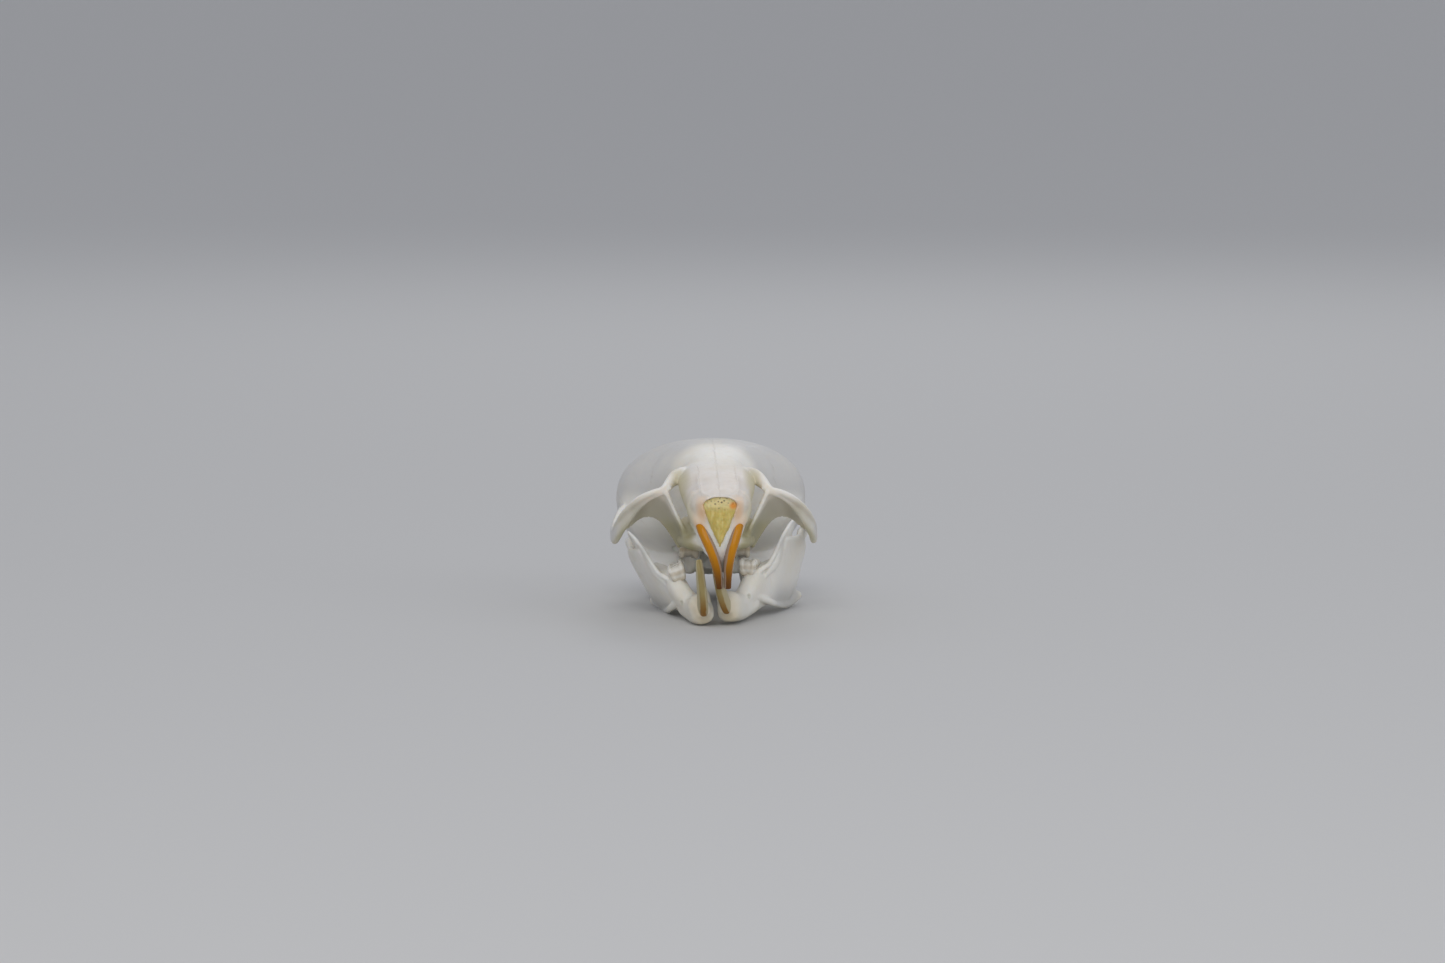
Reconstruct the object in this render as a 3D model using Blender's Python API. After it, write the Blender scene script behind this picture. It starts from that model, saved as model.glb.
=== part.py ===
"""A cleaned mouse skull as it lies on a table: the skull, the two loose halves of the lower jaw, and the teeth.

Lengths are in millimetres up to the last step, which turns every mesh to metres. The skull is first made in its own
frame: the tip of the nose at y = 0, +y to the back of the head, +x to the animal's left, z = 0 at the chewing plane of
the upper molars. Each half of the lower jaw has a frame too: y = 0 at its front, z = 0 under its chin, +x outwards.
"""

from math import cos, pi, radians, sin

import bmesh
import bpy
from mathutils import Matrix, Vector

MM = 0.001
GAP = 0.12                   # left between two pieces that meet
END_ROUND = 0.6              # how far a form's end bulges, as a share of its half thickness
END_TURNS = [radians(degrees) for degrees in (30, 60, 85)]

# Driving dimensions of the skull
SKULL_LENGTH = 21.6          # nose tip to the back of the head
ARCH_BREADTH = 11.5          # across the two cheek bones
BRAINCASE_BREADTH = 10.55
CROWN_HEIGHT = 6.7           # top of the braincase over the chewing plane
PALATE_HEIGHT = 0.85         # roof of the mouth over the chewing plane
SNOUT_BREADTH = 3.7
SNOUT_HEIGHT = 3.5           # nose tip over the chewing plane
BULLA_DROP = 2.3             # lowest point of the ear capsules under the chewing plane

# Teeth
MOLAR_ROW = 3.4
MOLAR_BREADTH = 1.1
CROWN_RISE = 0.70            # a lower molar's crown over its bone
UPPER_INCISOR_ARC = 2.87     # radius of the curve that an upper incisor follows
INCISOR_HUB_Y = 4.2          # middle of that curve
INCISOR_HUB_Z = 1.2
UPPER_INCISOR_DEPTH = 0.95   # front to back
UPPER_INCISOR_BREADTH = 0.50
UPPER_INCISOR_LEAN = 0.25    # how far both tips stand off the middle, to the animal's left
LOWER_INCISOR_DEPTH = 0.80
LOWER_INCISOR_BREADTH = 0.54

# Each half of the lower jaw
JAW_LENGTH = 10.9            # front of the bone to the back of the condyle
JAW_HEIGHT = 5.6             # chin level to the tip of the coronoid process
JAW_SPLAY = 2.5              # the condyle stands this much further out than the chin

# How the pieces lie
HEAD_PITCH = radians(6.0)    # nose up
HEAD_YAW = radians(2.0)      # nose to the animal's left
NOSE_PLACE = Vector((0.0, 0.0, 4.03))
JAW_POSES = {                # side: turns about x, y and z, place, how much its incisor leans inwards as it rises
    1: (Vector((-3.9, 0.6, -11.9)), Vector((-0.08, 3.35, 0.20)), 0.18),
    -1: (Vector((-1.7, -18.4, 5.3)), Vector((-0.40, 3.05, 0.18)), 0.215),
}

SNOUT_CUT = 8.05             # where the snout is parted from the braincase
VOXEL = 0.10                 # grid on which the joins of a union are melted
SKULL_TRIANGLES = 5600
JAW_TRIANGLES = 1150
MOLAR_TRIANGLES = 360
SIDES = (("left", 1), ("right", -1))


def clear_scene():
    for obj in list(bpy.data.objects):
        bpy.data.objects.remove(obj, do_unlink=True)


def material(name, colour, roughness):
    made = bpy.data.materials.new(name)
    made.use_nodes = True
    shader = made.node_tree.nodes["Principled BSDF"]
    shader.inputs["Base Color"].default_value = (*colour, 1.0)
    shader.inputs["Roughness"].default_value = roughness
    shader.inputs["Metallic"].default_value = 0.0
    return made


def smooth_path(stations, steps):
    """Rows of numbers through the given rows on a smooth curve, with steps rows for each stretch."""
    rows = [Vector(station) for station in stations]
    rows = [rows[0] * 2 - rows[1], *rows, rows[-1] * 2 - rows[-2]]
    made = []
    for a, b, c, d in zip(rows, rows[1:], rows[2:], rows[3:]):
        for step in range(steps):
            t = step / steps
            made.append(
                0.5 * (b * 2 + (c - a) * t + (a * 2 - b * 5 + c * 4 - d) * t**2
                       + (b * 3 - a - c * 3 + d) * t**3)
            )
    return [*made, rows[-2]]


def rounded(turn, power):
    """The point of a unit superellipse at this turn."""
    across, up = cos(turn), sin(turn)
    share = 2.0 / power
    return (
        abs(across) ** share * (1 if across >= 0 else -1),
        abs(up) ** share * (1 if up >= 0 else -1),
    )


def cross_section(y, half, top, low, widest, power=2.2, pinch=0.0):
    """A ring across the head: its lower half narrows by the share pinch."""

    def point(turn):
        across, up = rounded(turn, power)
        z = widest + up * ((top - widest) if up > 0 else (widest - low))
        narrow = 1 - pinch * max(0.0, -up)
        return Vector((across * half * narrow, y, z))

    return point


def path_ring(centre, along, lie, half_side, half_lie, power):
    """A ring square to a path: half_lie is measured towards the direction lie."""
    side = along.cross(lie).normalized()
    up = side.cross(along).normalized()

    def point(turn):
        across, rise = rounded(turn, power)
        return centre + side * (across * half_side) + up * (rise * half_lie)

    return point


def loft(name, rings, sides=20):
    """A closed mesh through rings, each a function from a turn to a point."""
    bm = bmesh.new()
    turn = bm.verts.layers.float.new("turn")
    verts = bmesh.ops.create_circle(bm, cap_ends=False, radius=1.0, segments=sides)["verts"]
    for number, vert in enumerate(verts):
        vert[turn] = 2 * pi * number / sides
        vert.co = rings[0](vert[turn])
    edges = bm.edges[:]
    for ring in rings[1:]:
        made = bmesh.ops.extrude_edge_only(bm, edges=edges)["geom"]
        for vert in made:
            if isinstance(vert, bmesh.types.BMVert):
                vert.co = ring(vert[turn])
        edges = [edge for edge in made if isinstance(edge, bmesh.types.BMEdge)]
    bmesh.ops.holes_fill(bm, edges=bm.edges[:], sides=0)
    bmesh.ops.triangulate(bm, faces=[face for face in bm.faces if len(face.verts) > 4])
    bmesh.ops.recalc_face_normals(bm, faces=bm.faces[:])
    return finished(name, bm)


def along_head(name, stations, power=2.2, pinch=0.0, steps=3, sides=28):
    """A form that runs along the head. A station is y, half breadth, top, bottom and height of the widest point."""
    rings = [cross_section(*row, power=power, pinch=pinch) for row in smooth_path(stations, steps)]
    return loft(name, rings, sides)


def sweep(name, stations, lie, power=2.2, steps=3, sides=12):
    """A form along a path with softly rounded ends.

    A station is x, y, z, half thickness and half height. The height lies towards lie, plus the station's own lean
    across the head where it has one.
    """
    rows = smooth_path([(*row, 0.0)[:6] for row in stations], steps)
    places = [Vector(row[:3]) for row in rows]
    last = len(rows) - 1
    ahead = [(places[min(number + 1, last)] - places[max(number - 1, 0)]).normalized() for number in range(len(rows))]

    def ring(number, out=0.0, size=1.0):
        row = rows[number]
        lean = Vector(lie) + Vector((row[5], 0, 0))
        centre = places[number] + ahead[number] * out
        return path_ring(centre, ahead[number], lean, row[3] * size, row[4] * size, power)

    rings = [ring(number) for number in range(len(rows))]
    for turn in END_TURNS:
        reach = [END_ROUND * min(rows[number][3], rows[number][4]) * sin(turn) for number in (0, last)]
        rings.insert(0, ring(0, -reach[0], cos(turn)))
        rings.append(ring(last, reach[1], cos(turn)))
    return loft(name, rings, sides)


def web(name, stations, hollow, steps=3, sides=28):
    """A thin sheet of bone between two edges, its middle set off by hollow.

    A station is a point of the upper edge, a point of the lower edge and half the thickness.
    """
    rows = smooth_path(stations, steps)
    middles = [(Vector(row[:3]) + Vector(row[3:6])) / 2 for row in rows]
    last = len(rows) - 1

    def ring(number):
        half = (Vector(rows[number][:3]) - Vector(rows[number][3:6])) / 2
        ahead = middles[min(number + 1, last)] - middles[max(number - 1, 0)]
        across = ahead.cross(half).normalized() * rows[number][6]

        def point(turn):
            out, rise = rounded(turn, 2.8)
            return middles[number] + half * rise + across * out + Vector(hollow) * (1 - rise * rise)

        return point

    return loft(name, [ring(number) for number in range(len(rows))], sides)


def ball(name, centre, radii, turn_z=0.0, tilt_x=0.0):
    bm = bmesh.new()
    bmesh.ops.create_icosphere(bm, subdivisions=3, radius=1.0)
    place = Matrix.Translation(centre) @ Matrix.Rotation(turn_z, 4, "Z") @ Matrix.Rotation(tilt_x, 4, "X")
    bmesh.ops.transform(bm, matrix=place @ Matrix.Diagonal((*radii, 1.0)), verts=bm.verts[:])
    return finished(name, bm)


def block(name, low, high):
    bm = bmesh.new()
    bmesh.ops.create_cube(bm, size=1.0)
    low, high = Vector(low), Vector(high)
    place = Matrix.Translation((low + high) / 2) @ Matrix.Diagonal((*(high - low), 1.0))
    bmesh.ops.transform(bm, matrix=place, verts=bm.verts[:])
    return finished(name, bm)


def prism(name, outline, low, high):
    """A block with an upright wall over each side of its outline."""
    bm = bmesh.new()
    base = bm.faces.new([bm.verts.new((x, y, low)) for x, y in outline])
    raised = bmesh.ops.extrude_face_region(bm, geom=[base])["geom"]
    lifted = [vert for vert in raised if isinstance(vert, bmesh.types.BMVert)]
    bmesh.ops.translate(bm, vec=(0, 0, high - low), verts=lifted)
    bmesh.ops.recalc_face_normals(bm, faces=bm.faces[:])
    return finished(name, bm)


def finished(name, bm):
    mesh = bpy.data.meshes.new(name)
    bm.to_mesh(mesh)
    bm.free()
    obj = bpy.data.objects.new(name, mesh)
    bpy.context.scene.collection.objects.link(obj)
    return obj


def mirrored(obj, side):
    """The object itself on the animal's left, or turned to its mirror image on the right."""
    if side < 0:
        bm = bmesh.new()
        bm.from_mesh(obj.data)
        bmesh.ops.scale(bm, vec=(-1, 1, 1), verts=bm.verts[:])
        bmesh.ops.reverse_faces(bm, faces=bm.faces[:])
        bm.to_mesh(obj.data)
        bm.free()
    return obj


def apply_modifiers(obj):
    graph = bpy.context.evaluated_depsgraph_get()
    obj.data = bpy.data.meshes.new_from_object(obj.evaluated_get(graph))
    obj.modifiers.clear()


def combine(base, others, operation):
    """One Boolean of base with all the others together, which are used up."""
    group = bpy.data.collections.new(base.name + "_" + operation.lower())
    bpy.context.scene.collection.children.link(group)
    for other in others:
        group.objects.link(other)
    cut = base.modifiers.new(operation.title(), "BOOLEAN")
    cut.operation = operation
    cut.operand_type = "COLLECTION"
    cut.collection = group
    cut.solver = "EXACT"
    apply_modifiers(base)
    for other in others:
        bpy.data.objects.remove(other, do_unlink=True)
    bpy.data.collections.remove(group)
    return base


def keep_largest(obj):
    """Deletes every closed surface of the mesh but the one with the most volume."""
    bm = bmesh.new()
    bm.from_mesh(obj.data)
    left = set(bm.faces)
    shells = []
    while left:
        found = [left.pop()]
        for face in found:
            for edge in face.edges:
                for near in edge.link_faces:
                    if near in left:
                        left.discard(near)
                        found.append(near)
        volume = sum(
            face.calc_center_median().dot(face.normal) * face.calc_area() for face in found
        )
        shells.append((volume, found))
    shells.sort(key=lambda shell: shell[0])
    for _, faces in shells[:-1]:
        bmesh.ops.delete(bm, geom=faces, context="FACES")
    bm.to_mesh(obj.data)
    bm.free()


def soften(obj, triangles, smoothing=4, voxel=VOXEL):
    """Melts the joins of a union into one skin of about this many triangles."""
    remesh = obj.modifiers.new("Melt", "REMESH")
    remesh.mode = "VOXEL"
    remesh.voxel_size = voxel
    smooth = obj.modifiers.new("Soften", "SMOOTH")
    smooth.factor = 0.5
    smooth.iterations = smoothing
    apply_modifiers(obj)
    keep_largest(obj)
    count = sum(len(polygon.vertices) - 2 for polygon in obj.data.polygons)
    thin = obj.modifiers.new("Thin out", "DECIMATE")
    thin.ratio = min(1.0, triangles / count)
    apply_modifiers(obj)
    return obj


def zygomatic_forms(side):
    """The hollow plate in front of the eye between its edges, its upper root, and the thin arch with its ridge."""
    half = ARCH_BREADTH / 2
    shapes = (
        (
            "root",
            [
                (1.30, 8.3, 4.92, 0.42, 0.42),
                (1.82, 7.5, 4.76, 0.40, 0.42),
                (2.20, 6.8, 4.50, 0.35, 0.42),
                (2.54, 6.22, 4.16, 0.28, 0.40),
                (2.82, 5.84, 3.80, 0.25, 0.36),
                (3.12, 5.80, 3.56, 0.25, 0.32),
            ],
            (0, 0, 1),
        ),
        (
            "arch",
            [
                (3.62, 6.10, 3.46, 0.22, 0.26),
                (4.22, 6.42, 3.04, 0.24, 0.34),
                (4.80, 6.98, 2.42, 0.25, 0.46),
                (0.91 * half, 7.8, 1.76, 0.26, 0.52),
                (0.945 * half, 9.2, 1.32, 0.26, 0.44),
                (0.96 * half, 10.6, 1.26, 0.26, 0.40),
                (0.965 * half, 11.7, 1.50, 0.26, 0.38),
                (0.945 * half, 12.6, 2.10, 0.27, 0.40),
                (0.87 * half, 13.4, 2.65, 0.32, 0.50),
                (0.76 * half, 14.3, 2.95, 0.34, 0.55),
            ],
            (0, 0.25, 1),
        ),
        (
            "ridge",
            [
                (0.46 * half, 5.72, 3.86, 0.18, 0.18),
                (0.60 * half, 5.80, 3.74, 0.22, 0.20),
                (0.74 * half, 6.15, 3.28, 0.22, 0.20),
                (0.86 * half, 6.80, 2.68, 0.20, 0.18),
                (0.93 * half, 7.80, 2.08, 0.18, 0.16),
            ],
            (0, 0.25, 1),
        ),
        (
            "front_edge",
            [
                (1.62, 6.42, 0.95, 0.20, 0.18),
                (1.74, 6.25, 1.45, 0.18, 0.18),
                (2.06, 6.02, 2.20, 0.18, 0.18),
                (2.45, 5.82, 3.02, 0.18, 0.18),
                (2.76, 5.72, 3.70, 0.18, 0.18),
            ],
            (1, 0, 0),
        ),
    )
    forms = [mirrored(sweep(name, stations, lie, steps=4, sides=14), side) for name, stations, lie in shapes]
    plate = web(
        "plate",
        [
            (1.64, 6.45, 0.90, 2.00, 7.50, 0.60, 0.30),
            (1.78, 6.28, 1.45, 2.15, 7.55, 0.80, 0.26),
            (2.08, 6.06, 2.20, 2.36, 7.55, 1.12, 0.25),
            (2.47, 5.86, 3.00, 2.60, 7.55, 1.50, 0.25),
            (2.80, 5.78, 3.62, 2.90, 7.58, 1.88, 0.25),
            (3.22, 5.80, 3.78, 3.23, 7.70, 2.20, 0.25),
            (3.68, 5.96, 3.60, 3.60, 7.85, 2.34, 0.25),
            (4.20, 6.24, 3.24, 4.08, 8.10, 2.26, 0.25),
            (4.70, 6.66, 2.82, 4.52, 8.45, 1.95, 0.24),
            (5.06, 7.24, 2.40, 4.84, 8.85, 1.66, 0.20),
        ],
        (-0.10, 0.16, 0.14),
    )
    return [*forms, mirrored(plate, side)]


def capsule(side):
    """An ear capsule: a bubble of bone, pointed at its front inner end and narrower below."""
    low = -BULLA_DROP
    return mirrored(
        sweep(
            "bulla",
            [
                (1.95, 14.05, -0.05, 0.25, 0.30),
                (2.20, 14.60, -0.30, 0.62, 0.90),
                (2.50, 15.40, 0.5 * low + 0.62, 0.98, 1.55),
                (2.75, 16.40, 0.5 * low + 0.70, 1.12, 1.85),
                (2.95, 17.30, 0.5 * low + 0.75, 1.05, 1.60),
                (3.05, 17.95, 0.10, 0.62, 0.90),
                (3.10, 18.20, 0.15, 0.30, 0.45),
            ],
            (0, 0, 1),
            sides=20,
        ),
        side,
    )


def ear_region(name, side, grown=0.0):
    """All that belongs to an ear capsule, with what leads out to the ear."""
    radii = (1.62 + grown, 2.30 + grown, BULLA_DROP + 0.5 + grown)
    return ball(name, (side * 2.80, 16.15, -0.1), radii, side * radians(-18))


def skull_forms():
    """The closed forms whose union is the bony skull."""
    long, wide, tall = SKULL_LENGTH, BRAINCASE_BREADTH / 2, CROWN_HEIGHT
    braincase = along_head(
        "braincase",
        [
            (0.370 * long, 0.35 * wide, 0.805 * tall, 0.45 * tall, 0.64 * tall),
            (0.430 * long, 0.35 * wide, 0.870 * tall, 0.42 * tall, 0.70 * tall),
            (0.490 * long, 0.49 * wide, 0.925 * tall, 0.33 * tall, 0.66 * tall),
            (0.546 * long, 0.70 * wide, 0.962 * tall, 0.22 * tall, 0.60 * tall),
            (0.602 * long, 0.89 * wide, 0.990 * tall, 0.09 * tall, 0.55 * tall),
            (0.662 * long, 0.99 * wide, 1.000 * tall, 0.00 * tall, 0.52 * tall),
            (0.741 * long, 1.00 * wide, 0.990 * tall, -0.04 * tall, 0.50 * tall),
            (0.815 * long, 0.96 * wide, 0.945 * tall, -0.05 * tall, 0.47 * tall),
            (0.880 * long, 0.87 * wide, 0.875 * tall, -0.04 * tall, 0.44 * tall),
            (0.925 * long, 0.79 * wide, 0.810 * tall, -0.02 * tall, 0.42 * tall),
            (0.957 * long, 0.70 * wide, 0.740 * tall, 0.02 * tall, 0.40 * tall),
            (0.980 * long, 0.57 * wide, 0.640 * tall, 0.07 * tall, 0.37 * tall),
            (0.993 * long, 0.38 * wide, 0.520 * tall, 0.14 * tall, 0.34 * tall),
            (0.998 * long, 0.14 * wide, 0.400 * tall, 0.26 * tall, 0.33 * tall),
        ],
        sides=44,
    )
    snout = SNOUT_BREADTH / 2
    nose = SNOUT_HEIGHT
    rostrum = along_head(
        "rostrum",
        [
            (0.0, 0.42 * snout, nose, nose - 0.6, nose - 0.3),
            (0.35, 0.66 * snout, nose + 0.06, nose - 1.1, nose - 0.4),
            (0.75, 0.80 * snout, nose + 0.15, 1.85, nose - 0.55),
            (1.15, 0.86 * snout, nose + 0.24, 0.75, nose - 0.60),
            (1.60, 0.90 * snout, nose + 0.35, 0.00, nose - 0.65),
            (2.1, 0.92 * snout, nose + 0.5, -0.15, nose - 0.7),
            (3.0, 0.95 * snout, nose + 0.75, 0.15, nose - 0.6),
            (4.2, 1.01 * snout, nose + 1.05, 0.45, nose - 0.2),
            (5.4, 1.12 * snout, nose + 1.36, 0.66, nose + 0.35),
            (6.6, 1.10 * snout, nose + 1.63, 0.76, nose + 0.65),
            (7.6, 1.02 * snout, nose + 1.85, 0.82, nose + 0.80),
            (8.8, 0.96 * snout, nose + 2.15, 0.90, nose + 0.95),
        ],
        power=2.7,
        pinch=0.5,
        sides=36,
    )
    orbit_wall = along_head(
        "orbit_wall",
        [
            (6.0, 1.55, 4.7, 1.0, 3.0),
            (8.5, 1.45, 5.3, 1.0, 3.2),
            (11.0, 1.60, 5.8, 0.9, 3.2),
            (13.5, 2.20, 6.0, 0.7, 3.0),
        ],
        power=2.8,
    )
    palate = along_head(
        "palate",
        [
            (2.6, 0.85, 1.4, 0.15, 0.9),
            (4.5, 0.95, 1.8, 0.40, 1.1),
            (6.6, 1.20, 2.2, 0.62, 1.4),
            (7.8, 1.85, 2.3, 0.80, 1.5),
            (9.5, 2.05, 2.4, PALATE_HEIGHT, 1.6),
            (11.6, 1.90, 2.4, PALATE_HEIGHT, 1.6),
            (12.8, 1.25, 2.3, 0.80, 1.5),
        ],
        power=3.2,
    )
    maxilla = along_head(
        "maxilla",
        [
            (4.6, 1.20, 1.50, 0.60, 1.05),
            (5.6, 1.60, 1.50, 0.50, 1.00),
            (6.6, 2.00, 1.55, 0.45, 1.00),
            (7.8, 2.20, 1.70, 0.60, 1.15),
            (9.0, 2.10, 1.90, PALATE_HEIGHT, 1.35),
        ],
        power=2.6,
    )
    skull_base = along_head(
        "skull_base",
        [
            (11.8, 0.75, 3.0, 0.55, 1.6),
            (13.5, 0.85, 2.5, -0.25, 1.0),
            (15.5, 1.10, 2.2, -0.80, 0.6),
            (17.6, 1.50, 2.2, -0.95, 0.5),
            (19.6, 1.65, 2.2, -0.75, 0.5),
            (20.9, 1.25, 1.5, -0.15, 0.7),
        ],
        power=2.6,
    )
    forms = [braincase, rostrum, orbit_wall, palate, maxilla, skull_base]
    for _, side in SIDES:
        forms += zygomatic_forms(side)
        forms.append(incisor_sheath(side))
        forms += [
            capsule(side),
            ball("ear_tube", (side * 3.15, 16.7, 0.50), (1.05, 1.15, 1.10)),
            ball("mastoid", (side * 3.45, 18.3, 1.1), (0.95, 1.20, 1.45)),
            ball("occipital_condyle", (side * 1.05, 21.0, 0.85), (0.48, 0.62, 0.75), 0.0, radians(25)),
            mirrored(
                sweep(
                    "pterygoid",
                    [
                        (0.85, 12.0, 0.95, 0.24, 0.45),
                        (0.95, 13.0, 0.15, 0.24, 0.70),
                        (1.15, 14.0, -0.25, 0.24, 0.65),
                        (1.65, 15.0, -0.40, 0.26, 0.45),
                    ],
                    (0, 0, 1),
                ),
                side,
            ),
            mirrored(
                sweep(
                    "paroccipital",
                    [
                        (3.00, 18.9, 0.8, 0.50, 0.55),
                        (2.85, 19.2, -0.3, 0.36, 0.42),
                        (2.70, 19.3, -1.0, 0.22, 0.26),
                    ],
                    (0, 1, 0),
                ),
                side,
            ),
        ]
    return forms


def skull_cuts():
    """The openings of the bony skull, as solids to take away."""
    nose = SNOUT_HEIGHT
    nostril = along_head(
        "nostril",
        [
            (-1.0, 0.94, nose - 0.16, 0.80, nose - 0.56),
            (1.3, 0.88, nose - 0.18, 0.90, nose - 0.58),
            (2.3, 0.50, nose - 0.40, 1.5, nose - 0.75),
        ],
        power=2.1,
        pinch=0.80,
        sides=32,
    )
    spinal_opening = sweep(
        "spinal_opening",
        [(0, 19.9, 2.0, 0.85, 0.80), (0, 21.0, 1.75, 1.12, 1.15), (0, 22.6, 1.4, 1.2, 1.25)],
        (0, 0, 1),
        sides=20,
    )
    throat = along_head(
        "throat",
        [(12.4, 0.35, 1.0, -1.0, 0.2), (13.2, 0.60, 0.75, -1.2, 0.0), (14.6, 0.55, -0.05, -1.5, -0.6)],
    )
    cuts = [nostril, spinal_opening, throat]
    for _, side in SIDES:
        cuts += [
            ball("ear_hole", (side * 4.20, 16.8, 0.45), (0.85, 0.66, 0.72)),
            ball("palate_slit", (side * 0.30, 4.8, 0.35), (0.17, 1.75, 0.55)),
        ]
    return cuts


def arch_region(name, side, grown=0.0):
    """Walls round a cheek bone and the orbit inside it, grown where the other pieces keep clear of it."""
    inner = 2.20 - grown
    outer = 6.6
    front = prism(name, [(inner, 3.8), (inner, 8.8), (3.4, 10.0), (outer, 10.0), (outer, 3.8)], 0.3, 5.6)
    rear_outline = [
        (3.3, 9.5),
        (4.45 - grown, 12.1),
        (4.90 - grown, 13.3 + grown),
        (outer, 13.3 + grown),
        (outer, 9.5),
    ]
    combine(front, [prism("rear_region", rear_outline, 0.5, 3.2)], "UNION")
    return mirrored(front, side)


def copy_of(obj, name):
    made = obj.copy()
    made.data = obj.data.copy()
    made.name = name
    bpy.context.scene.collection.objects.link(made)
    return made


def build_skull():
    """The bony skull, made whole and then parted by thin cuts into the parts that have names."""
    forms = skull_forms()
    skull = combine(forms[0], forms[1:], "UNION")
    combine(skull, skull_cuts(), "DIFFERENCE")
    soften(skull, SKULL_TRIANGLES)
    pieces = []
    for name, side in SIDES:
        for part, region in (("zygomatic_arch", arch_region), ("auditory_bulla", ear_region)):
            piece = combine(copy_of(skull, part + "_" + name), [region("region", side)], "INTERSECT")
            keep_largest(piece)
            pieces.append(piece)
    kept_clear = [region("region", side, GAP) for _, side in SIDES for region in (arch_region, ear_region)]
    combine(skull, kept_clear, "DIFFERENCE")
    far = 30.0
    snout_box = block("snout_box", (-far, -far, -far), (far, SNOUT_CUT, far))
    rostrum = combine(copy_of(skull, "rostrum"), [snout_box], "INTERSECT")
    snout_room = block("snout_room", (-far, -far, -far), (far, SNOUT_CUT + GAP, far))
    skull.name = "braincase"
    combine(skull, [snout_room], "DIFFERENCE")
    for piece in (skull, rostrum):
        keep_largest(piece)
        pieces.append(piece)
    return pieces


def incisor_station(degrees, apart, half_breadth, half_depth, inset=0.0):
    """A station on the circle that an upper incisor follows, inset moving it back from the circle."""
    reach = UPPER_INCISOR_ARC - inset
    turn = radians(degrees)
    return (
        apart,
        INCISOR_HUB_Y - reach * cos(turn),
        INCISOR_HUB_Z + reach * sin(turn),
        half_breadth,
        half_depth,
    )


def incisor_sheath(side):
    """The bone that swells over the root of an upper incisor."""
    half_breadth = UPPER_INCISOR_BREADTH / 2
    half_depth = UPPER_INCISOR_DEPTH / 2
    stations = [
        incisor_station(degrees, apart, half_breadth + wall, half_depth + wall)
        for degrees, apart, wall in ((48, 1.20, 0.20), (34, 1.20, 0.32), (24, 1.12, 0.26), (15, 1.03, 0.12))
    ]
    return mirrored(sweep("incisor_sheath", stations, (0, -1, 0.001)), side)


def upper_incisor(name, side, grown=0.0):
    """A curved chisel: its root lies in the snout, and its cutting edge slopes up behind."""
    stations = []
    for degrees, apart, breadth, depth in (
        (34, 1.18, 0.90, 0.85),
        (14, 1.04, 1.00, 1.00),
        (-1, 0.80, 1.00, 1.00),
        (-16, 0.535, 0.96, 1.00),
        (-32, 0.35, 0.90, 0.92),
        (-45, 0.27, 0.80, 0.70),
        (-56, 0.225, 0.74, 0.30),
    ):
        lean = UPPER_INCISOR_LEAN * max(0.0, 14 - degrees) / 70
        stations.append(
            incisor_station(
                degrees,
                apart + side * lean,
                UPPER_INCISOR_BREADTH * breadth / 2 + grown,
                UPPER_INCISOR_DEPTH * depth / 2 + grown,
                inset=-UPPER_INCISOR_DEPTH * (1 - depth) / 2,
            )
        )
    return mirrored(sweep(name, stations, (0, -1, 0.001), power=2.8, steps=2, sides=14), side)


def molar_row(name, length, breadth, rise, lean):
    """Three molars in a row along y from y = 0, their roots at z = 0, shrinking to the back, with two rows of cusps."""
    forms = []
    front = 0.0
    for number, (share, wide, rows) in enumerate(((0.50, 1.0, 3), (0.31, 0.94, 2), (0.19, 0.72, 1))):
        long = share * length
        half = breadth * wide / 2
        middle = front + long / 2
        crown = sweep(
            "crown",
            [
                (0, middle, -0.45, half * 0.72, long * 0.40),
                (0, middle, 0.0, half * 0.86, long * 0.47),
                (0, middle, rise * 0.45, half, long * 0.52),
                (0, middle, rise * 0.72, half * 0.92, long * 0.50),
            ],
            (0, 1, 0),
            power=2.8,
            sides=16,
        )
        forms.append(crown)
        for row in range(rows):
            at = front + long * (row + 0.5) / rows
            size = long / rows
            for across in (-0.5, 0.5):
                tip = rise * (0.66 if across * lean > 0 else 0.60)
                radii = (half * 0.46, size * 0.46, rise * 0.38)
                forms.append(ball("cusp", (across * half * 1.05, at, tip), radii, 0.0, radians(-14)))
        front += long
    row = combine(forms[0], forms[1:], "UNION")
    row.name = name
    return soften(row, MOLAR_TRIANGLES, smoothing=1, voxel=VOXEL * 0.6)


def move(obj, matrix):
    obj.data.transform(matrix)
    if matrix.determinant() < 0:
        obj.data.flip_normals()
    return obj


def upper_molars(name, side):
    row = molar_row(name, MOLAR_ROW, MOLAR_BREADTH, PALATE_HEIGHT, side)
    move(row, Matrix.Translation((side * 1.42, 8.3, PALATE_HEIGHT + GAP)) @ Matrix.Rotation(pi, 4, "Y"))
    return row


def socket(obj, name, grown):
    """A copy of a tooth row's roots, grown to make its bed in the bone."""
    bed = copy_of(obj, name)
    swell = bed.modifiers.new("Swell", "DISPLACE")
    swell.strength = grown
    swell.mid_level = 0.0
    apply_modifiers(bed)
    return bed


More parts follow.
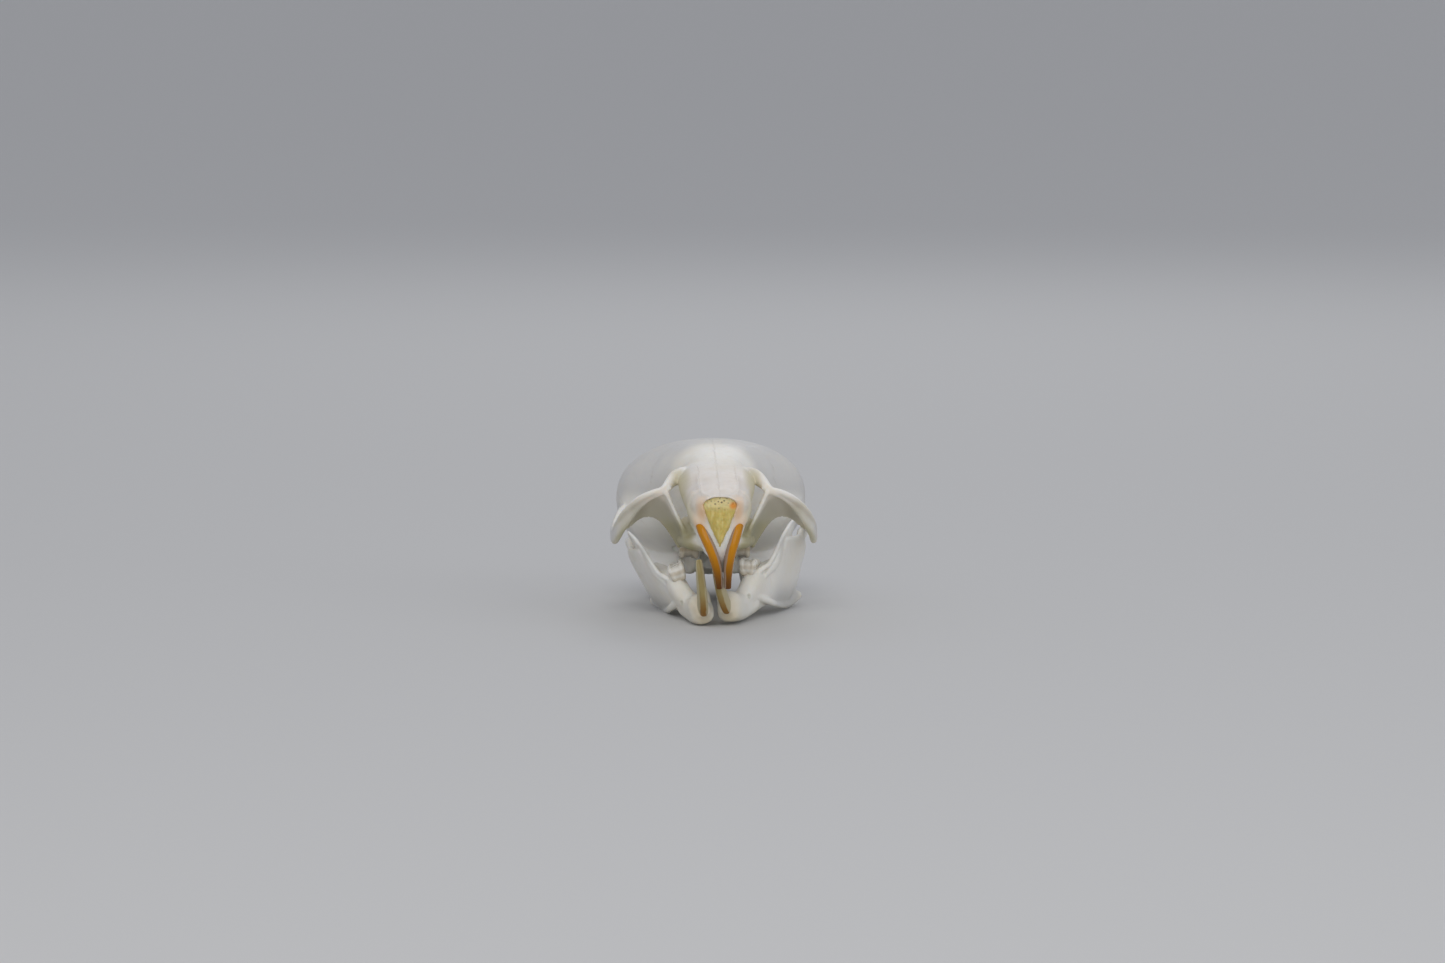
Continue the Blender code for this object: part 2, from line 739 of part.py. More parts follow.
def jaw_forms():
    """The closed forms of one half of the lower jaw, in its own frame."""
    splay, long, tall = JAW_SPLAY, JAW_LENGTH, JAW_HEIGHT
    up = (0, 0, 1)
    shapes = (
        (
            "chin",
            [
                (0.24, 0.060 * long, 0.170 * tall, 0.46, 0.54),
                (0.28, 0.095 * long, 0.165 * tall, 0.66, 0.84),
                (0.36, 0.150 * long, 0.150 * tall, 0.72, 0.80),
                (0.47, 0.215 * long, 0.150 * tall, 0.70, 0.78),
                (0.62, 0.290 * long, 0.195 * tall, 0.64, 0.92),
                (0.80, 0.370 * long, 0.240 * tall, 0.62, 1.00),
            ],
            up,
            2.5,
        ),
        (
            "tooth_bearer",
            [
                (0.66, 0.215 * long, 0.190 * tall, 0.44, 0.52, 0.25),
                (0.74, 0.290 * long, 0.225 * tall, 0.56, 1.02, 0.25),
                (0.88, 0.370 * long, 0.275 * tall, 0.62, 1.30, 0.22),
                (1.02, 0.500 * long, 0.320 * tall, 0.66, 1.22, 0.10),
                (1.34, 0.630 * long, 0.370 * tall, 0.54, 1.15),
                (1.68, 0.740 * long, 0.420 * tall, 0.34, 1.10),
            ],
            up,
            2.5,
        ),
        (
            "rim",
            [
                (-0.16, 0.125 * long, 0.17 * tall, 0.22, 0.35),
                (-0.21, 0.085 * long, 0.27 * tall, 0.20, 0.38),
                (-0.23, 0.055 * long, 0.335 * tall, 0.16, 0.28),
            ],
            (0, 1, 0),
            2.2,
        ),
        (
            "ramus",
            [
                (0.56 * splay, 0.49 * long, 0.43 * tall, 0.28, 1.30, 0.10),
                (0.73 * splay, 0.62 * long, 0.47 * tall, 0.26, 1.80, 0.10),
                (0.90 * splay, 0.73 * long, 0.51 * tall, 0.26, 1.85, 0.10),
                (1.03 * splay, 0.82 * long, 0.61 * tall, 0.27, 1.15, 0.04),
                (1.03 * splay, 0.89 * long, 0.73 * tall, 0.26, 0.62, -0.05),
            ],
            up,
            2.2,
        ),
        (
            "coronoid",
            [
                (0.64 * splay, 0.435 * long, 0.51 * tall, 0.24, 0.45),
                (0.745 * splay, 0.565 * long, 0.61 * tall, 0.24, 0.58),
                (0.82 * splay, 0.645 * long, 0.735 * tall, 0.22, 0.55),
                (0.91 * splay, 0.702 * long, 0.86 * tall, 0.20, 0.38),
                (0.975 * splay, 0.732 * long, 0.96 * tall, 0.16, 0.18),
            ],
            (0, -0.64, 0.77),
            2.2,
        ),
        (
            "condyle",
            [
                (0.92 * splay, 0.82 * long, 0.70 * tall, 0.26, 0.75),
                (0.96 * splay, 0.90 * long, 0.80 * tall, 0.28, 0.50),
                (0.98 * splay, 0.955 * long, 0.84 * tall, 0.30, 0.36),
                (0.98 * splay, 0.99 * long, 0.83 * tall, 0.26, 0.26),
            ],
            up,
            2.2,
        ),
        (
            "angle",
            [
                (0.60 * splay, 0.62 * long, 0.280 * tall, 0.26, 0.90, -0.15),
                (0.69 * splay, 0.72 * long, 0.255 * tall, 0.26, 0.92, -0.30),
                (0.78 * splay, 0.82 * long, 0.225 * tall, 0.25, 0.72, -0.35),
                (0.86 * splay, 0.91 * long, 0.200 * tall, 0.23, 0.46, -0.25),
                (0.93 * splay, 0.98 * long, 0.195 * tall, 0.18, 0.24),
            ],
            up,
            2.2,
        ),
        (
            "ridge",
            [
                (0.50 * splay, 0.33 * long, 0.25 * tall, 0.20, 0.24),
                (0.66 * splay, 0.50 * long, 0.18 * tall, 0.19, 0.24),
                (0.74 * splay, 0.64 * long, 0.13 * tall, 0.18, 0.20),
                (0.80 * splay, 0.78 * long, 0.11 * tall, 0.16, 0.16),
            ],
            up,
            2.2,
        ),
    )
    return [sweep(name, stations, lie, power=power, steps=4, sides=18) for name, stations, lie, power in shapes]


def lower_incisor(name, lean, grown=0.0):
    """A long curved blade from inside the front of the jaw, leaning towards the middle at its tip."""
    thick = LOWER_INCISOR_BREADTH / 2
    deep = LOWER_INCISOR_DEPTH / 2
    shaft = [
        (0.44 - lean * z, y, z, thick * across + grown, deep * depth + grown)
        for y, z, across, depth in (
            (2.60, 0.66, 0.90, 0.80),
            (1.40, 0.70, 1.00, 1.00),
            (0.50, 0.98, 1.00, 1.00),
            (-0.10, 1.58, 0.96, 1.00),
            (-0.46, 2.42, 0.88, 0.85),
            (-0.62, 3.12, 0.78, 0.55),
            (-0.68, 3.66, 0.64, 0.22),
        )
    ]
    return sweep(name, shaft, (0, -0.7, -0.7), power=2.8, steps=2, sides=14)


def lower_molars(name):
    row = molar_row(name, MOLAR_ROW * 0.94, MOLAR_BREADTH * 0.9, CROWN_RISE, -1)
    slope = Matrix.Rotation(radians(4), 4, "Z") @ Matrix.Rotation(radians(-2), 4, "X")
    return move(row, Matrix.Translation((0.82, 3.12, 2.66)) @ slope)


def build_jaw(name, side):
    """One half of the lower jaw with its incisor and its row of molars, all in the jaw's own frame."""
    lean = JAW_POSES[side][2]
    forms = jaw_forms()
    jaw = combine(forms[0], forms[1:], "UNION")
    jaw.name = "mandible_" + name
    soften(jaw, JAW_TRIANGLES)
    incisor = lower_incisor("lower_incisor_" + name, lean)
    molars = lower_molars("lower_molars_" + name)
    combine(jaw, [lower_incisor("incisor_bed", lean, GAP), socket(molars, "molar_bed", GAP)], "DIFFERENCE")
    keep_largest(jaw)
    return [mirrored(piece, side) for piece in (jaw, incisor, molars)]


def head_matrix():
    turn = Matrix.Rotation(HEAD_YAW, 4, "Z") @ Matrix.Rotation(-HEAD_PITCH, 4, "X")
    return Matrix.Translation(NOSE_PLACE) @ turn


def jaw_matrix(side):
    turns, place, _ = JAW_POSES[side]
    spin = Matrix.Rotation(radians(turns.z), 4, "Z") @ Matrix.Rotation(radians(turns.y), 4, "Y")
    return Matrix.Translation(place) @ spin @ Matrix.Rotation(radians(turns.x), 4, "X")


def trim_below_floor(pieces):
    """Cuts off what would lie under the table, which leaves the small flats that the skull stands on."""
    far = 40.0
    for piece in pieces:
        if min(vert.co.z for vert in piece.data.vertices) < 0:
            combine(piece, [block("floor", (-far, -far, -far), (far, far, 0.0))], "DIFFERENCE")
            keep_largest(piece)


def centre_and_scale(pieces):
    """Puts the middle of the whole at x = y = 0 and turns millimetres to metres."""
    points = [vert.co for piece in pieces for vert in piece.data.vertices]
    middle = [
        (min(point[axis] for point in points) + max(point[axis] for point in points)) / 2 for axis in (0, 1)
    ]
    place = Matrix.Scale(MM, 4) @ Matrix.Translation((-middle[0], -middle[1], 0))
    for piece in pieces:
        piece.data.transform(place)


def finish(pieces):
    bone = material("bone", (0.80, 0.77, 0.68), 0.45)
    enamel = material("orange_enamel", (0.62, 0.28, 0.03), 0.25)
    dentine = material("pale_enamel", (0.62, 0.53, 0.25), 0.28)
    molar = material("molar_enamel", (0.82, 0.80, 0.74), 0.30)
    for piece in pieces:
        if piece.name.startswith("upper_incisor"):
            skin = enamel
        elif piece.name.startswith("lower_incisor"):
            skin = dentine
        elif "molars" in piece.name:
            skin = molar
        else:
            skin = bone
        piece.data.materials.clear()
        piece.data.materials.append(skin)
        piece.data.shade_smooth()
        piece.data.set_sharp_from_angle(angle=radians(50))


def main():
    clear_scene()
    head = build_skull()
    braincase = next(piece for piece in head if piece.name == "braincase")
    rostrum = next(piece for piece in head if piece.name == "rostrum")
    incisor_beds = []
    molar_beds = []
    for name, side in SIDES:
        incisor = upper_incisor("upper_incisor_" + name, side)
        molars = upper_molars("upper_molars_" + name, side)
        incisor_beds.append(upper_incisor("incisor_bed", side, GAP))
        molar_beds.append(socket(molars, "molar_bed", GAP))
        head += [incisor, molars]
    combine(rostrum, incisor_beds, "DIFFERENCE")
    combine(braincase, molar_beds, "DIFFERENCE")
    keep_largest(rostrum)
    keep_largest(braincase)
    for piece in head:
        move(piece, head_matrix())
    pieces = list(head)
    for name, side in SIDES:
        pieces += [move(piece, jaw_matrix(side)) for piece in build_jaw(name, side)]
    trim_below_floor(pieces)
    centre_and_scale(pieces)
    finish(pieces)


main()
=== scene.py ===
"""The looks of a cleaned mouse skull: one skin for the bony skull, one for each jaw half, and the teeth.

Shapes are made in millimetres, as in the solids. The head's own frame has the tip of the nose at y = 0, +y to
the back of the head, +x to the animal's left and z = 0 at the chewing plane of the upper molars. Each half of
the lower jaw has a frame too, with y = 0 at its front, z = 0 under its chin and +x outwards.
"""

from contextlib import contextmanager
from math import copysign, cos, pi, radians, sin

import bmesh
import bpy
from mathutils import Matrix, Vector, noise


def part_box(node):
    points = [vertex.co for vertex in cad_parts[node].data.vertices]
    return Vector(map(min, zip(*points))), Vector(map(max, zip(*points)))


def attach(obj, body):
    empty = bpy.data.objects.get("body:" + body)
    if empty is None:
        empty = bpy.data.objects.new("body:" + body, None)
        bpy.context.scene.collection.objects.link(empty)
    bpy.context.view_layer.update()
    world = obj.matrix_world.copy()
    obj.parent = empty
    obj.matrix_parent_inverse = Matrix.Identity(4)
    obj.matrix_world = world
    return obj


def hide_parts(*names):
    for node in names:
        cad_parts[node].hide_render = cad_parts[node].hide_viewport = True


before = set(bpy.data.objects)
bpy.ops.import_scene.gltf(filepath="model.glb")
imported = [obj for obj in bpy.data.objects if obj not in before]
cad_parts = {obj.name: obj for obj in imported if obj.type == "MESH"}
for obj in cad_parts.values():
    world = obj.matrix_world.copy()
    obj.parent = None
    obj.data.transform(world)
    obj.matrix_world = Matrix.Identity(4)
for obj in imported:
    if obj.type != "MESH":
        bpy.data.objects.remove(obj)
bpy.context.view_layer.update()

MM = 0.001
UP = (0, 0, 1)
MIDDLE = Vector((-0.4042, 11.0250, 0.0))     # what the solids were moved by to stand centred

# Driving dimensions, as in the solids
SKULL_LENGTH = 21.6
ARCH_BREADTH = 11.5
BRAINCASE_BREADTH = 10.55
CROWN_HEIGHT = 6.7
PALATE_HEIGHT = 0.85
SNOUT_BREADTH = 3.7
SNOUT_HEIGHT = 3.5
BULLA_DROP = 2.3
MOLAR_ROW = 3.4
MOLAR_BREADTH = 1.1
CROWN_RISE = 0.70
UPPER_INCISOR_ARC = 2.87
INCISOR_HUB_Y = 4.2
INCISOR_HUB_Z = 1.2
UPPER_INCISOR_DEPTH = 0.95
UPPER_INCISOR_BREADTH = 0.50
UPPER_INCISOR_LEAN = 0.25
LOWER_INCISOR_DEPTH = 0.80
LOWER_INCISOR_BREADTH = 0.54
JAW_LENGTH = 10.9
JAW_HEIGHT = 5.6
JAW_SPLAY = 2.5
HEAD_PITCH = radians(6.0)
HEAD_YAW = radians(2.0)
NOSE_PLACE = Vector((0.0, 0.0, 4.03))
SIDES = (("left", 1), ("right", -1))

# The braincase's stations give y, half breadth, top, floor and widest height as shares of these
BRAINCASE_SIZES = (SKULL_LENGTH, BRAINCASE_BREADTH / 2, CROWN_HEIGHT, CROWN_HEIGHT, CROWN_HEIGHT)

# Each half of the lower jaw: its turns in degrees and its place
JAW_POSES = {
    1: (Vector((-3.9, 0.6, -11.9)), Vector((-0.08, 3.35, 0.20))),
    -1: (Vector((-1.7, -18.4, 5.3)), Vector((-0.40, 3.05, 0.18))),
}
# The gnawing tooth of each: its lean, how far its face turns outwards and its tip's height
JAW_TEETH = {1: (0.18, 0.0, 3.52), -1: (0.215, radians(18), 3.66)}
UPPER_MOLAR_BED = (1.42, 8.3, PALATE_HEIGHT + 0.12)
LOWER_MOLAR_BED = Vector((0.82, 3.12, 2.66))
JAW_PITS = ((1.16, 2.40, 1.42), (1.96, 5.00, 1.76))
END_ROUND = 0.6              # how far a form's end bulges, as a share of its half thickness
END_TURNS = [radians(degrees) for degrees in (25, 50, 72, 86)]
SKULL_GRAIN = 0.075          # grid on which the bony skull is melted together
JAW_GRAIN = 0.050
MOLAR_GRAIN = 0.030
MOST_TRIANGLES = 190000      # in one skin

# The photograph
PHOTO_WIDTH = 1445           # pixels
PHOTO_SCALE = 18.2           # pixels to a millimetre where the camera aims
CAMERA_DISTANCE = 350.0
CAMERA_ELEVATION = radians(6.0)
SENSOR_WIDTH = 36


def smooth_path(stations, steps):
    """Rows of numbers through the given rows on a smooth curve, with steps rows for each stretch."""
    rows = [Vector(station) for station in stations]
    rows = [rows[0] * 2 - rows[1], *rows, rows[-1] * 2 - rows[-2]]
    made = []
    for a, b, c, d in zip(rows, rows[1:], rows[2:], rows[3:]):
        for step in range(steps):
            t = step / steps
            made.append(
                0.5 * (b * 2 + (c - a) * t + (a * 2 - b * 5 + c * 4 - d) * t**2
                       + (b * 3 - a - c * 3 + d) * t**3)
            )
    return [*made, rows[-2]]


def rounded(turn, power):
    across, up = cos(turn), sin(turn)
    share = 2.0 / power
    return copysign(abs(across) ** share, across), copysign(abs(up) ** share, up)


def scaled(rows, sizes):
    """The rows with their first numbers, which are shares of these sizes, turned into lengths."""
    return [(*(share * size for share, size in zip(row, sizes)), *row[len(sizes):]) for row in rows]


def cross_section(y, half, top, low, widest, power, pinch, slant):
    """A ring across the head: its lower half narrows by the share pinch and leans back by the share slant."""

    def point(turn):
        across, up = rounded(turn, power)
        z = widest + up * ((top - widest) if up > 0 else (widest - low))
        narrow = 1 - pinch * max(0.0, -up)
        return Vector((across * half * narrow, y + slant * (top - z), z))

    return point


def path_ring(centre, along, lie, half_side, half_lie, power):
    side = along.cross(lie).normalized()
    up = side.cross(along).normalized()

    def point(turn):
        across, rise = rounded(turn, power)
        return centre + side * (across * half_side) + up * (rise * half_lie)

    return point


def loft(name, rings, sides, outward=0.0):
    """A closed mesh through rings, each a function from a turn to a point.

    The attribute front says how far a point faces the way that the ring is raised, turned by outward.
    """
    bm = bmesh.new()
    turn = bm.verts.layers.float.new("turn")
    front = bm.verts.layers.float.new("front")
    verts = bmesh.ops.create_circle(bm, cap_ends=False, radius=1.0, segments=sides)["verts"]
    for number, vert in enumerate(verts):
        vert[turn] = 2 * pi * number / sides
        vert[front] = sin(vert[turn] + outward)
        vert.co = rings[0](vert[turn])
    edges = bm.edges[:]
    for ring in rings[1:]:
        made = bmesh.ops.extrude_edge_only(bm, edges=edges)["geom"]
        for vert in made:
            if isinstance(vert, bmesh.types.BMVert):
                vert.co = ring(vert[turn])
        edges = [edge for edge in made if isinstance(edge, bmesh.types.BMEdge)]
    bmesh.ops.holes_fill(bm, edges=bm.edges[:], sides=0)
    bmesh.ops.triangulate(bm, faces=[face for face in bm.faces if len(face.verts) > 4])
    bmesh.ops.recalc_face_normals(bm, faces=bm.faces[:])
    return finished(name, bm)


def along_head(name, stations, power=2.2, pinch=0.0, slant=0.0, steps=6, sides=48):
    """A form along the head. A station is y, half breadth, top, bottom and height of the widest point."""
    rows = smooth_path(stations, steps)
    return loft(name, [cross_section(*row, power, pinch, slant) for row in rows], sides)


def sweep(name, stations, lie, power=2.2, steps=6, sides=20, outward=0.0):
    """A form along a path with softly rounded ends.

    A station is x, y, z, half thickness and half height. The height lies towards lie, plus the station's own
    lean across the head where it has one.
    """
    rows = smooth_path([(*row, 0.0)[:6] for row in stations], steps)
    places = [Vector(row[:3]) for row in rows]
    ahead = [
        (places[min(number + 1, len(rows) - 1)] - places[max(number - 1, 0)]).normalized()
        for number in range(len(rows))
    ]

    def ring(number, out=0.0, size=1.0):
        row = rows[number]
        lean = Vector(lie) + Vector((row[5], 0, 0))
        centre = places[number] + ahead[number] * out
        return path_ring(centre, ahead[number], lean, row[3] * size, row[4] * size, power)

    last = len(rows) - 1
    rings = [ring(number) for number in range(len(rows))]
    for turn in END_TURNS:
        reach = [END_ROUND * min(rows[number][3], rows[number][4]) * sin(turn) for number in (0, last)]
        rings.insert(0, ring(0, -reach[0], cos(turn)))
        rings.append(ring(last, reach[1], cos(turn)))
    return loft(name, rings, sides, outward)


def web(name, stations, hollow, steps=6, sides=48):
    """A thin sheet of bone between two edges, its middle set off by hollow.

    A station is a point of the upper edge, a point of the lower edge and half the thickness.
    """
    rows = smooth_path(stations, steps)
    middles = [(Vector(row[:3]) + Vector(row[3:6])) / 2 for row in rows]
    last = len(rows) - 1

    def ring(number):
        half = (Vector(rows[number][:3]) - Vector(rows[number][3:6])) / 2
        ahead = middles[min(number + 1, last)] - middles[max(number - 1, 0)]
        across = ahead.cross(half).normalized() * rows[number][6]

        def point(turn):
            out, rise = rounded(turn, 2.8)
            return middles[number] + half * rise + across * out + Vector(hollow) * (1 - rise * rise)

        return point

    return loft(name, [ring(number) for number in range(len(rows))], sides)


def ball(name, centre, radii, turn_z=0.0, tilt_x=0.0):
    bm = bmesh.new()
    bmesh.ops.create_icosphere(bm, subdivisions=3, radius=1.0)
    place = Matrix.Translation(centre) @ Matrix.Rotation(turn_z, 4, "Z") @ Matrix.Rotation(tilt_x, 4, "X")
    bmesh.ops.transform(bm, matrix=place @ Matrix.Diagonal((*radii, 1.0)), verts=bm.verts[:])
    return finished(name, bm)


def put_in_scene(name, data):
    obj = bpy.data.objects.new(name, data)
    bpy.context.scene.collection.objects.link(obj)
    return obj


def finished(name, bm):
    mesh = bpy.data.meshes.new(name)
    bm.to_mesh(mesh)
    bm.free()
    return put_in_scene(name, mesh)


@contextmanager
def reshaping(obj):
    """Lends an object's mesh as a bmesh and takes it back."""
    bm = bmesh.new()
    bm.from_mesh(obj.data)
    bm.normal_update()
    yield bm
    bm.to_mesh(obj.data)
    bm.free()


def mirrored(obj, side):
    """The object itself on the animal's left, or turned to its mirror image on the right."""
    if side < 0:
        with reshaping(obj) as bm:
            bmesh.ops.scale(bm, vec=(-1, 1, 1), verts=bm.verts[:])
            bmesh.ops.reverse_faces(bm, faces=bm.faces[:])
    return obj


def apply_modifiers(obj):
    graph = bpy.context.evaluated_depsgraph_get()
    obj.data = bpy.data.meshes.new_from_object(obj.evaluated_get(graph))
    obj.modifiers.clear()


def combine(base, others, operation):
    """One Boolean of base with all the others together, which are used up."""
    group = bpy.data.collections.new(base.name + "_" + operation.lower())
    bpy.context.scene.collection.children.link(group)
    for other in others:
        group.objects.link(other)
    cut = base.modifiers.new(operation.title(), "BOOLEAN")
    cut.operation = operation
    cut.operand_type = "COLLECTION"
    cut.collection = group
    cut.solver = "MANIFOLD"
    apply_modifiers(base)
    for other in others:
        bpy.data.objects.remove(other, do_unlink=True)
    bpy.data.collections.remove(group)
    return base


def keep_largest(obj):
    """Deletes every closed surface of the mesh but the one with the most faces."""
    with reshaping(obj) as bm:
        left = set(bm.faces)
        shells = []
        while left:
            found = [left.pop()]
            for face in found:
                for edge in face.edges:
                    for near in edge.link_faces:
                        if near in left:
                            left.discard(near)
                            found.append(near)
            shells.append(found)
        shells.sort(key=len)
        for faces in shells[:-1]:
            bmesh.ops.delete(bm, geom=faces, context="FACES")


def melt(obj, grain, smoothing):
    """Turns a union into one even skin with soft joins."""
    remesh = obj.modifiers.new("Melt", "REMESH")
    remesh.mode = "VOXEL"
    remesh.voxel_size = grain
    smooth = obj.modifiers.new("Soften", "SMOOTH")
    smooth.factor = 0.5
    smooth.iterations = smoothing
    apply_modifiers(obj)
    keep_largest(obj)
    return obj


def thin_out(obj, triangles):
    """Spends fewer triangles where the skin is plain."""
    count = sum(len(polygon.vertices) - 2 for polygon in obj.data.polygons)
    if count > triangles:
        fewer = obj.modifiers.new("Thin out", "DECIMATE")
        fewer.ratio = triangles / count
        apply_modifiers(obj)


def step_up(x, low, high):
    """0 below low, 1 above high, and a soft step between."""
    t = min(1.0, max(0.0, (x - low) / (high - low)))
    return t * t * (3 - 2 * t)


def step_down(x, low, high):
    return 1 - step_up(x, low, high)


def uneven(obj, depth, size, seed):
    """Gives the bone the slight waviness that nothing grown goes without."""
    offset = Vector((seed, seed * 1.7, seed * 0.6))
    with reshaping(obj) as bm:
        for vert in bm.verts:
            place = vert.co / size + offset
            wave = noise.noise(place) + 0.45 * noise.noise(place * 2.7)
            vert.co += vert.normal * (depth * wave)


def stain(obj, rules):
    """Writes what a material reads, each mark from a rule on a point's x, y, z and outward direction."""
    with reshaping(obj) as bm:
        layers = [(bm.verts.layers.float.new(name), rule) for name, rule in rules.items()]
        for vert in bm.verts:
            for layer, rule in layers:
                vert[layer] = min(1.0, max(0.0, rule(*vert.co, vert.normal)))


def zygomatic_forms(side):
    """The plate in front of the eye between its edges, its upper root, and the thin arch with its ridge."""
    half = ARCH_BREADTH / 2
    root = [
        (1.15, 8.8, 4.66, 0.42, 0.42),
        (1.76, 7.7, 4.66, 0.40, 0.42),
        (2.20, 6.8, 4.50, 0.35, 0.40),
        (2.54, 6.22, 4.20, 0.27, 0.34),
        (2.82, 5.86, 3.88, 0.20, 0.26),
        (3.14, 5.84, 3.66, 0.16, 0.20),
        (3.45, 6.00, 3.52, 0.14, 0.17),
    ]
    arch = [
        (3.30, 5.96, 3.56, 0.14, 0.16),
        (3.72, 6.14, 3.38, 0.15, 0.20),
        (4.22, 6.42, 3.04, 0.18, 0.28),
        (4.80, 6.98, 2.42, 0.20, 0.42),
        (0.91 * half, 7.8, 1.76, 0.21, 0.50),
        (0.945 * half, 9.2, 1.32, 0.21, 0.44),
        (0.96 * half, 10.6, 1.26, 0.21, 0.40),
        (0.955 * half, 11.7, 1.52, 0.22, 0.38),
        (0.915 * half, 12.6, 2.02, 0.24, 0.40),
        (0.855 * half, 13.4, 2.48, 0.30, 0.48),
        (0.76 * half, 14.3, 2.75, 0.34, 0.55),
    ]
    ridge = [
        (0.44 * half, 5.84, 3.92, 0.14, 0.14),
        (0.60 * half, 5.82, 3.70, 0.16, 0.16),
        (0.74 * half, 6.15, 3.28, 0.19, 0.18),
        (0.86 * half, 6.80, 2.68, 0.18, 0.16),
        (0.93 * half, 7.80, 2.08, 0.16, 0.15),
        (0.960 * half, 9.2, 1.64, 0.14, 0.14),
        (0.965 * half, 10.8, 1.56, 0.13, 0.12),
    ]
    front_edge = [
        (1.62, 6.42, 0.95, 0.13, 0.13),
        (1.74, 6.25, 1.45, 0.13, 0.12),
        (2.06, 6.02, 2.20, 0.12, 0.12),
        (2.45, 5.82, 3.02, 0.13, 0.12),
        (2.76, 5.72, 3.70, 0.14, 0.14),
    ]
    plate = [
        (1.64, 6.45, 0.90, 2.00, 7.50, 0.60, 0.24),
        (1.78, 6.28, 1.45, 2.15, 7.55, 0.80, 0.18),
        (2.08, 6.06, 2.20, 2.36, 7.55, 1.12, 0.15),
        (2.47, 5.86, 3.00, 2.60, 7.55, 1.50, 0.15),
        (2.80, 5.78, 3.62, 2.90, 7.58, 1.88, 0.15),
        (3.22, 5.80, 3.78, 3.23, 7.70, 2.20, 0.15),
        (3.68, 5.96, 3.60, 3.60, 7.85, 2.34, 0.15),
        (4.20, 6.24, 3.24, 4.08, 8.10, 2.26, 0.15),
        (4.70, 6.66, 2.82, 4.52, 8.45, 1.95, 0.14),
        (5.06, 7.24, 2.40, 4.84, 8.85, 1.66, 0.12),
        (5.30, 7.90, 2.00, 5.36, 9.20, 1.50, 0.12),
    ]
    shapes = (
        (root, UP),
        (arch, (0, 0.25, 1)),
        (ridge, (0, 0.25, 1)),
        (front_edge, (1, 0, 0)),
    )
    forms = [sweep("cheek", stations, lie, sides=26) for stations, lie in shapes]
    forms.append(web("plate", plate, (-0.10, 0.16, 0.14)))
    return [mirrored(form, side) for form in forms]


def capsule(side):
    """An ear capsule: a bubble of bone, pointed at its front inner end and narrower below."""
    half_way = -0.5 * BULLA_DROP
    stations = [
        (1.95, 14.05, -0.05, 0.25, 0.30),
        (2.20, 14.60, -0.30, 0.62, 0.90),
        (2.50, 15.40, half_way + 0.62, 0.98, 1.55),
        (2.75, 16.40, half_way + 0.70, 1.12, 1.85),
        (2.95, 17.30, half_way + 0.75, 1.05, 1.60),
        (3.05, 17.95, 0.10, 0.62, 0.90),
        (3.10, 18.20, 0.15, 0.30, 0.45),
    ]
    return mirrored(sweep("bulla", stations, UP, sides=36), side)


def incisor_station(degrees, apart, half_breadth, half_depth, inset=0.0):
    """A station on the circle that an upper incisor follows, inset moving it back from the circle."""
    reach = UPPER_INCISOR_ARC - inset
    turn = radians(degrees)
    y = INCISOR_HUB_Y - reach * cos(turn)
    return apart, y, INCISOR_HUB_Z + reach * sin(turn), half_breadth, half_depth


def incisor_sheath(side):
    """The bone that swells over the root of an upper incisor."""
    half_breadth = UPPER_INCISOR_BREADTH / 2
    half_depth = UPPER_INCISOR_DEPTH / 2
    stations = [
        incisor_station(degrees, apart, half_breadth + wall, half_depth + wall)
        for degrees, apart, wall in ((48, 1.20, 0.20), (34, 1.20, 0.32), (24, 1.12, 0.24), (15, 1.03, 0.07))
    ]
    return mirrored(sweep("incisor_sheath", stations, (0, -1, 0.001), sides=28), side)


def processes(side):
    """The spurs, crests and ridges on one side of the bony skull."""
    pterygoid = [
        (0.85, 12.0, 0.95, 0.24, 0.45),
        (0.95, 13.0, 0.15, 0.20, 0.70),
        (1.15, 14.0, -0.25, 0.20, 0.65),
        (1.65, 15.0, -0.40, 0.24, 0.45),
    ]
    paroccipital = [
        (3.00, 18.9, 0.8, 0.50, 0.55),
        (2.85, 19.2, -0.3, 0.32, 0.38),
        (2.70, 19.3, -1.0, 0.16, 0.20),
    ]
    cheek_wedge = [
        (1.50, 6.30, 1.10, 0.36, 0.22),
        (1.60, 6.42, 1.55, 0.38, 0.22),
        (1.66, 6.55, 1.95, 0.34, 0.20),
        (1.70, 6.70, 2.25, 0.24, 0.16),
    ]
    nape_crest = [
        (4.50, 17.8, 2.9, 0.24, 0.08),
        (4.22, 18.9, 3.6, 0.34, 0.12),
        (3.56, 19.55, 4.32, 0.38, 0.13),
        (2.0, 19.80, 5.13, 0.36, 0.12),
        (-0.2, 19.90, 5.40, 0.30, 0.10),
    ]
    nape_ridge = [
        (0.0, 20.20, 5.00, 0.20, 0.10),
        (0.0, 20.70, 4.88, 0.18, 0.12),
        (0.0, 21.18, 4.26, 0.15, 0.12),
        (0.0, 21.42, 3.48, 0.13, 0.10),
        (0.0, 21.42, 2.95, 0.10, 0.06),
    ]
    temple_crest = [
        (4.66, 13.9, 2.75, 0.22, 0.30),
        (5.08, 15.2, 2.62, 0.18, 0.32),
        (4.95, 16.6, 2.45, 0.14, 0.30),
        (4.56, 18.0, 2.20, 0.12, 0.24),
    ]
    nasal_edge = [
        (0.62, 0.12, 3.48, 0.09, 0.07),
        (0.95, 1.2, 3.66, 0.09, 0.06),
        (1.05, 3.0, 4.12, 0.09, 0.05),
        (1.00, 5.0, 4.66, 0.08, 0.05),
    ]
    shapes = (
        (pterygoid, UP),
        (paroccipital, (0, 1, 0)),
        (cheek_wedge, (0, 1, 0)),
        (nape_crest, (0, 0.5, 1)),
        (nape_ridge, (0, 1, 0)),
        (temple_crest, UP),
        (nasal_edge, UP),
    )
    return [mirrored(sweep("process", stations, lie, sides=14), side) for stations, lie in shapes]


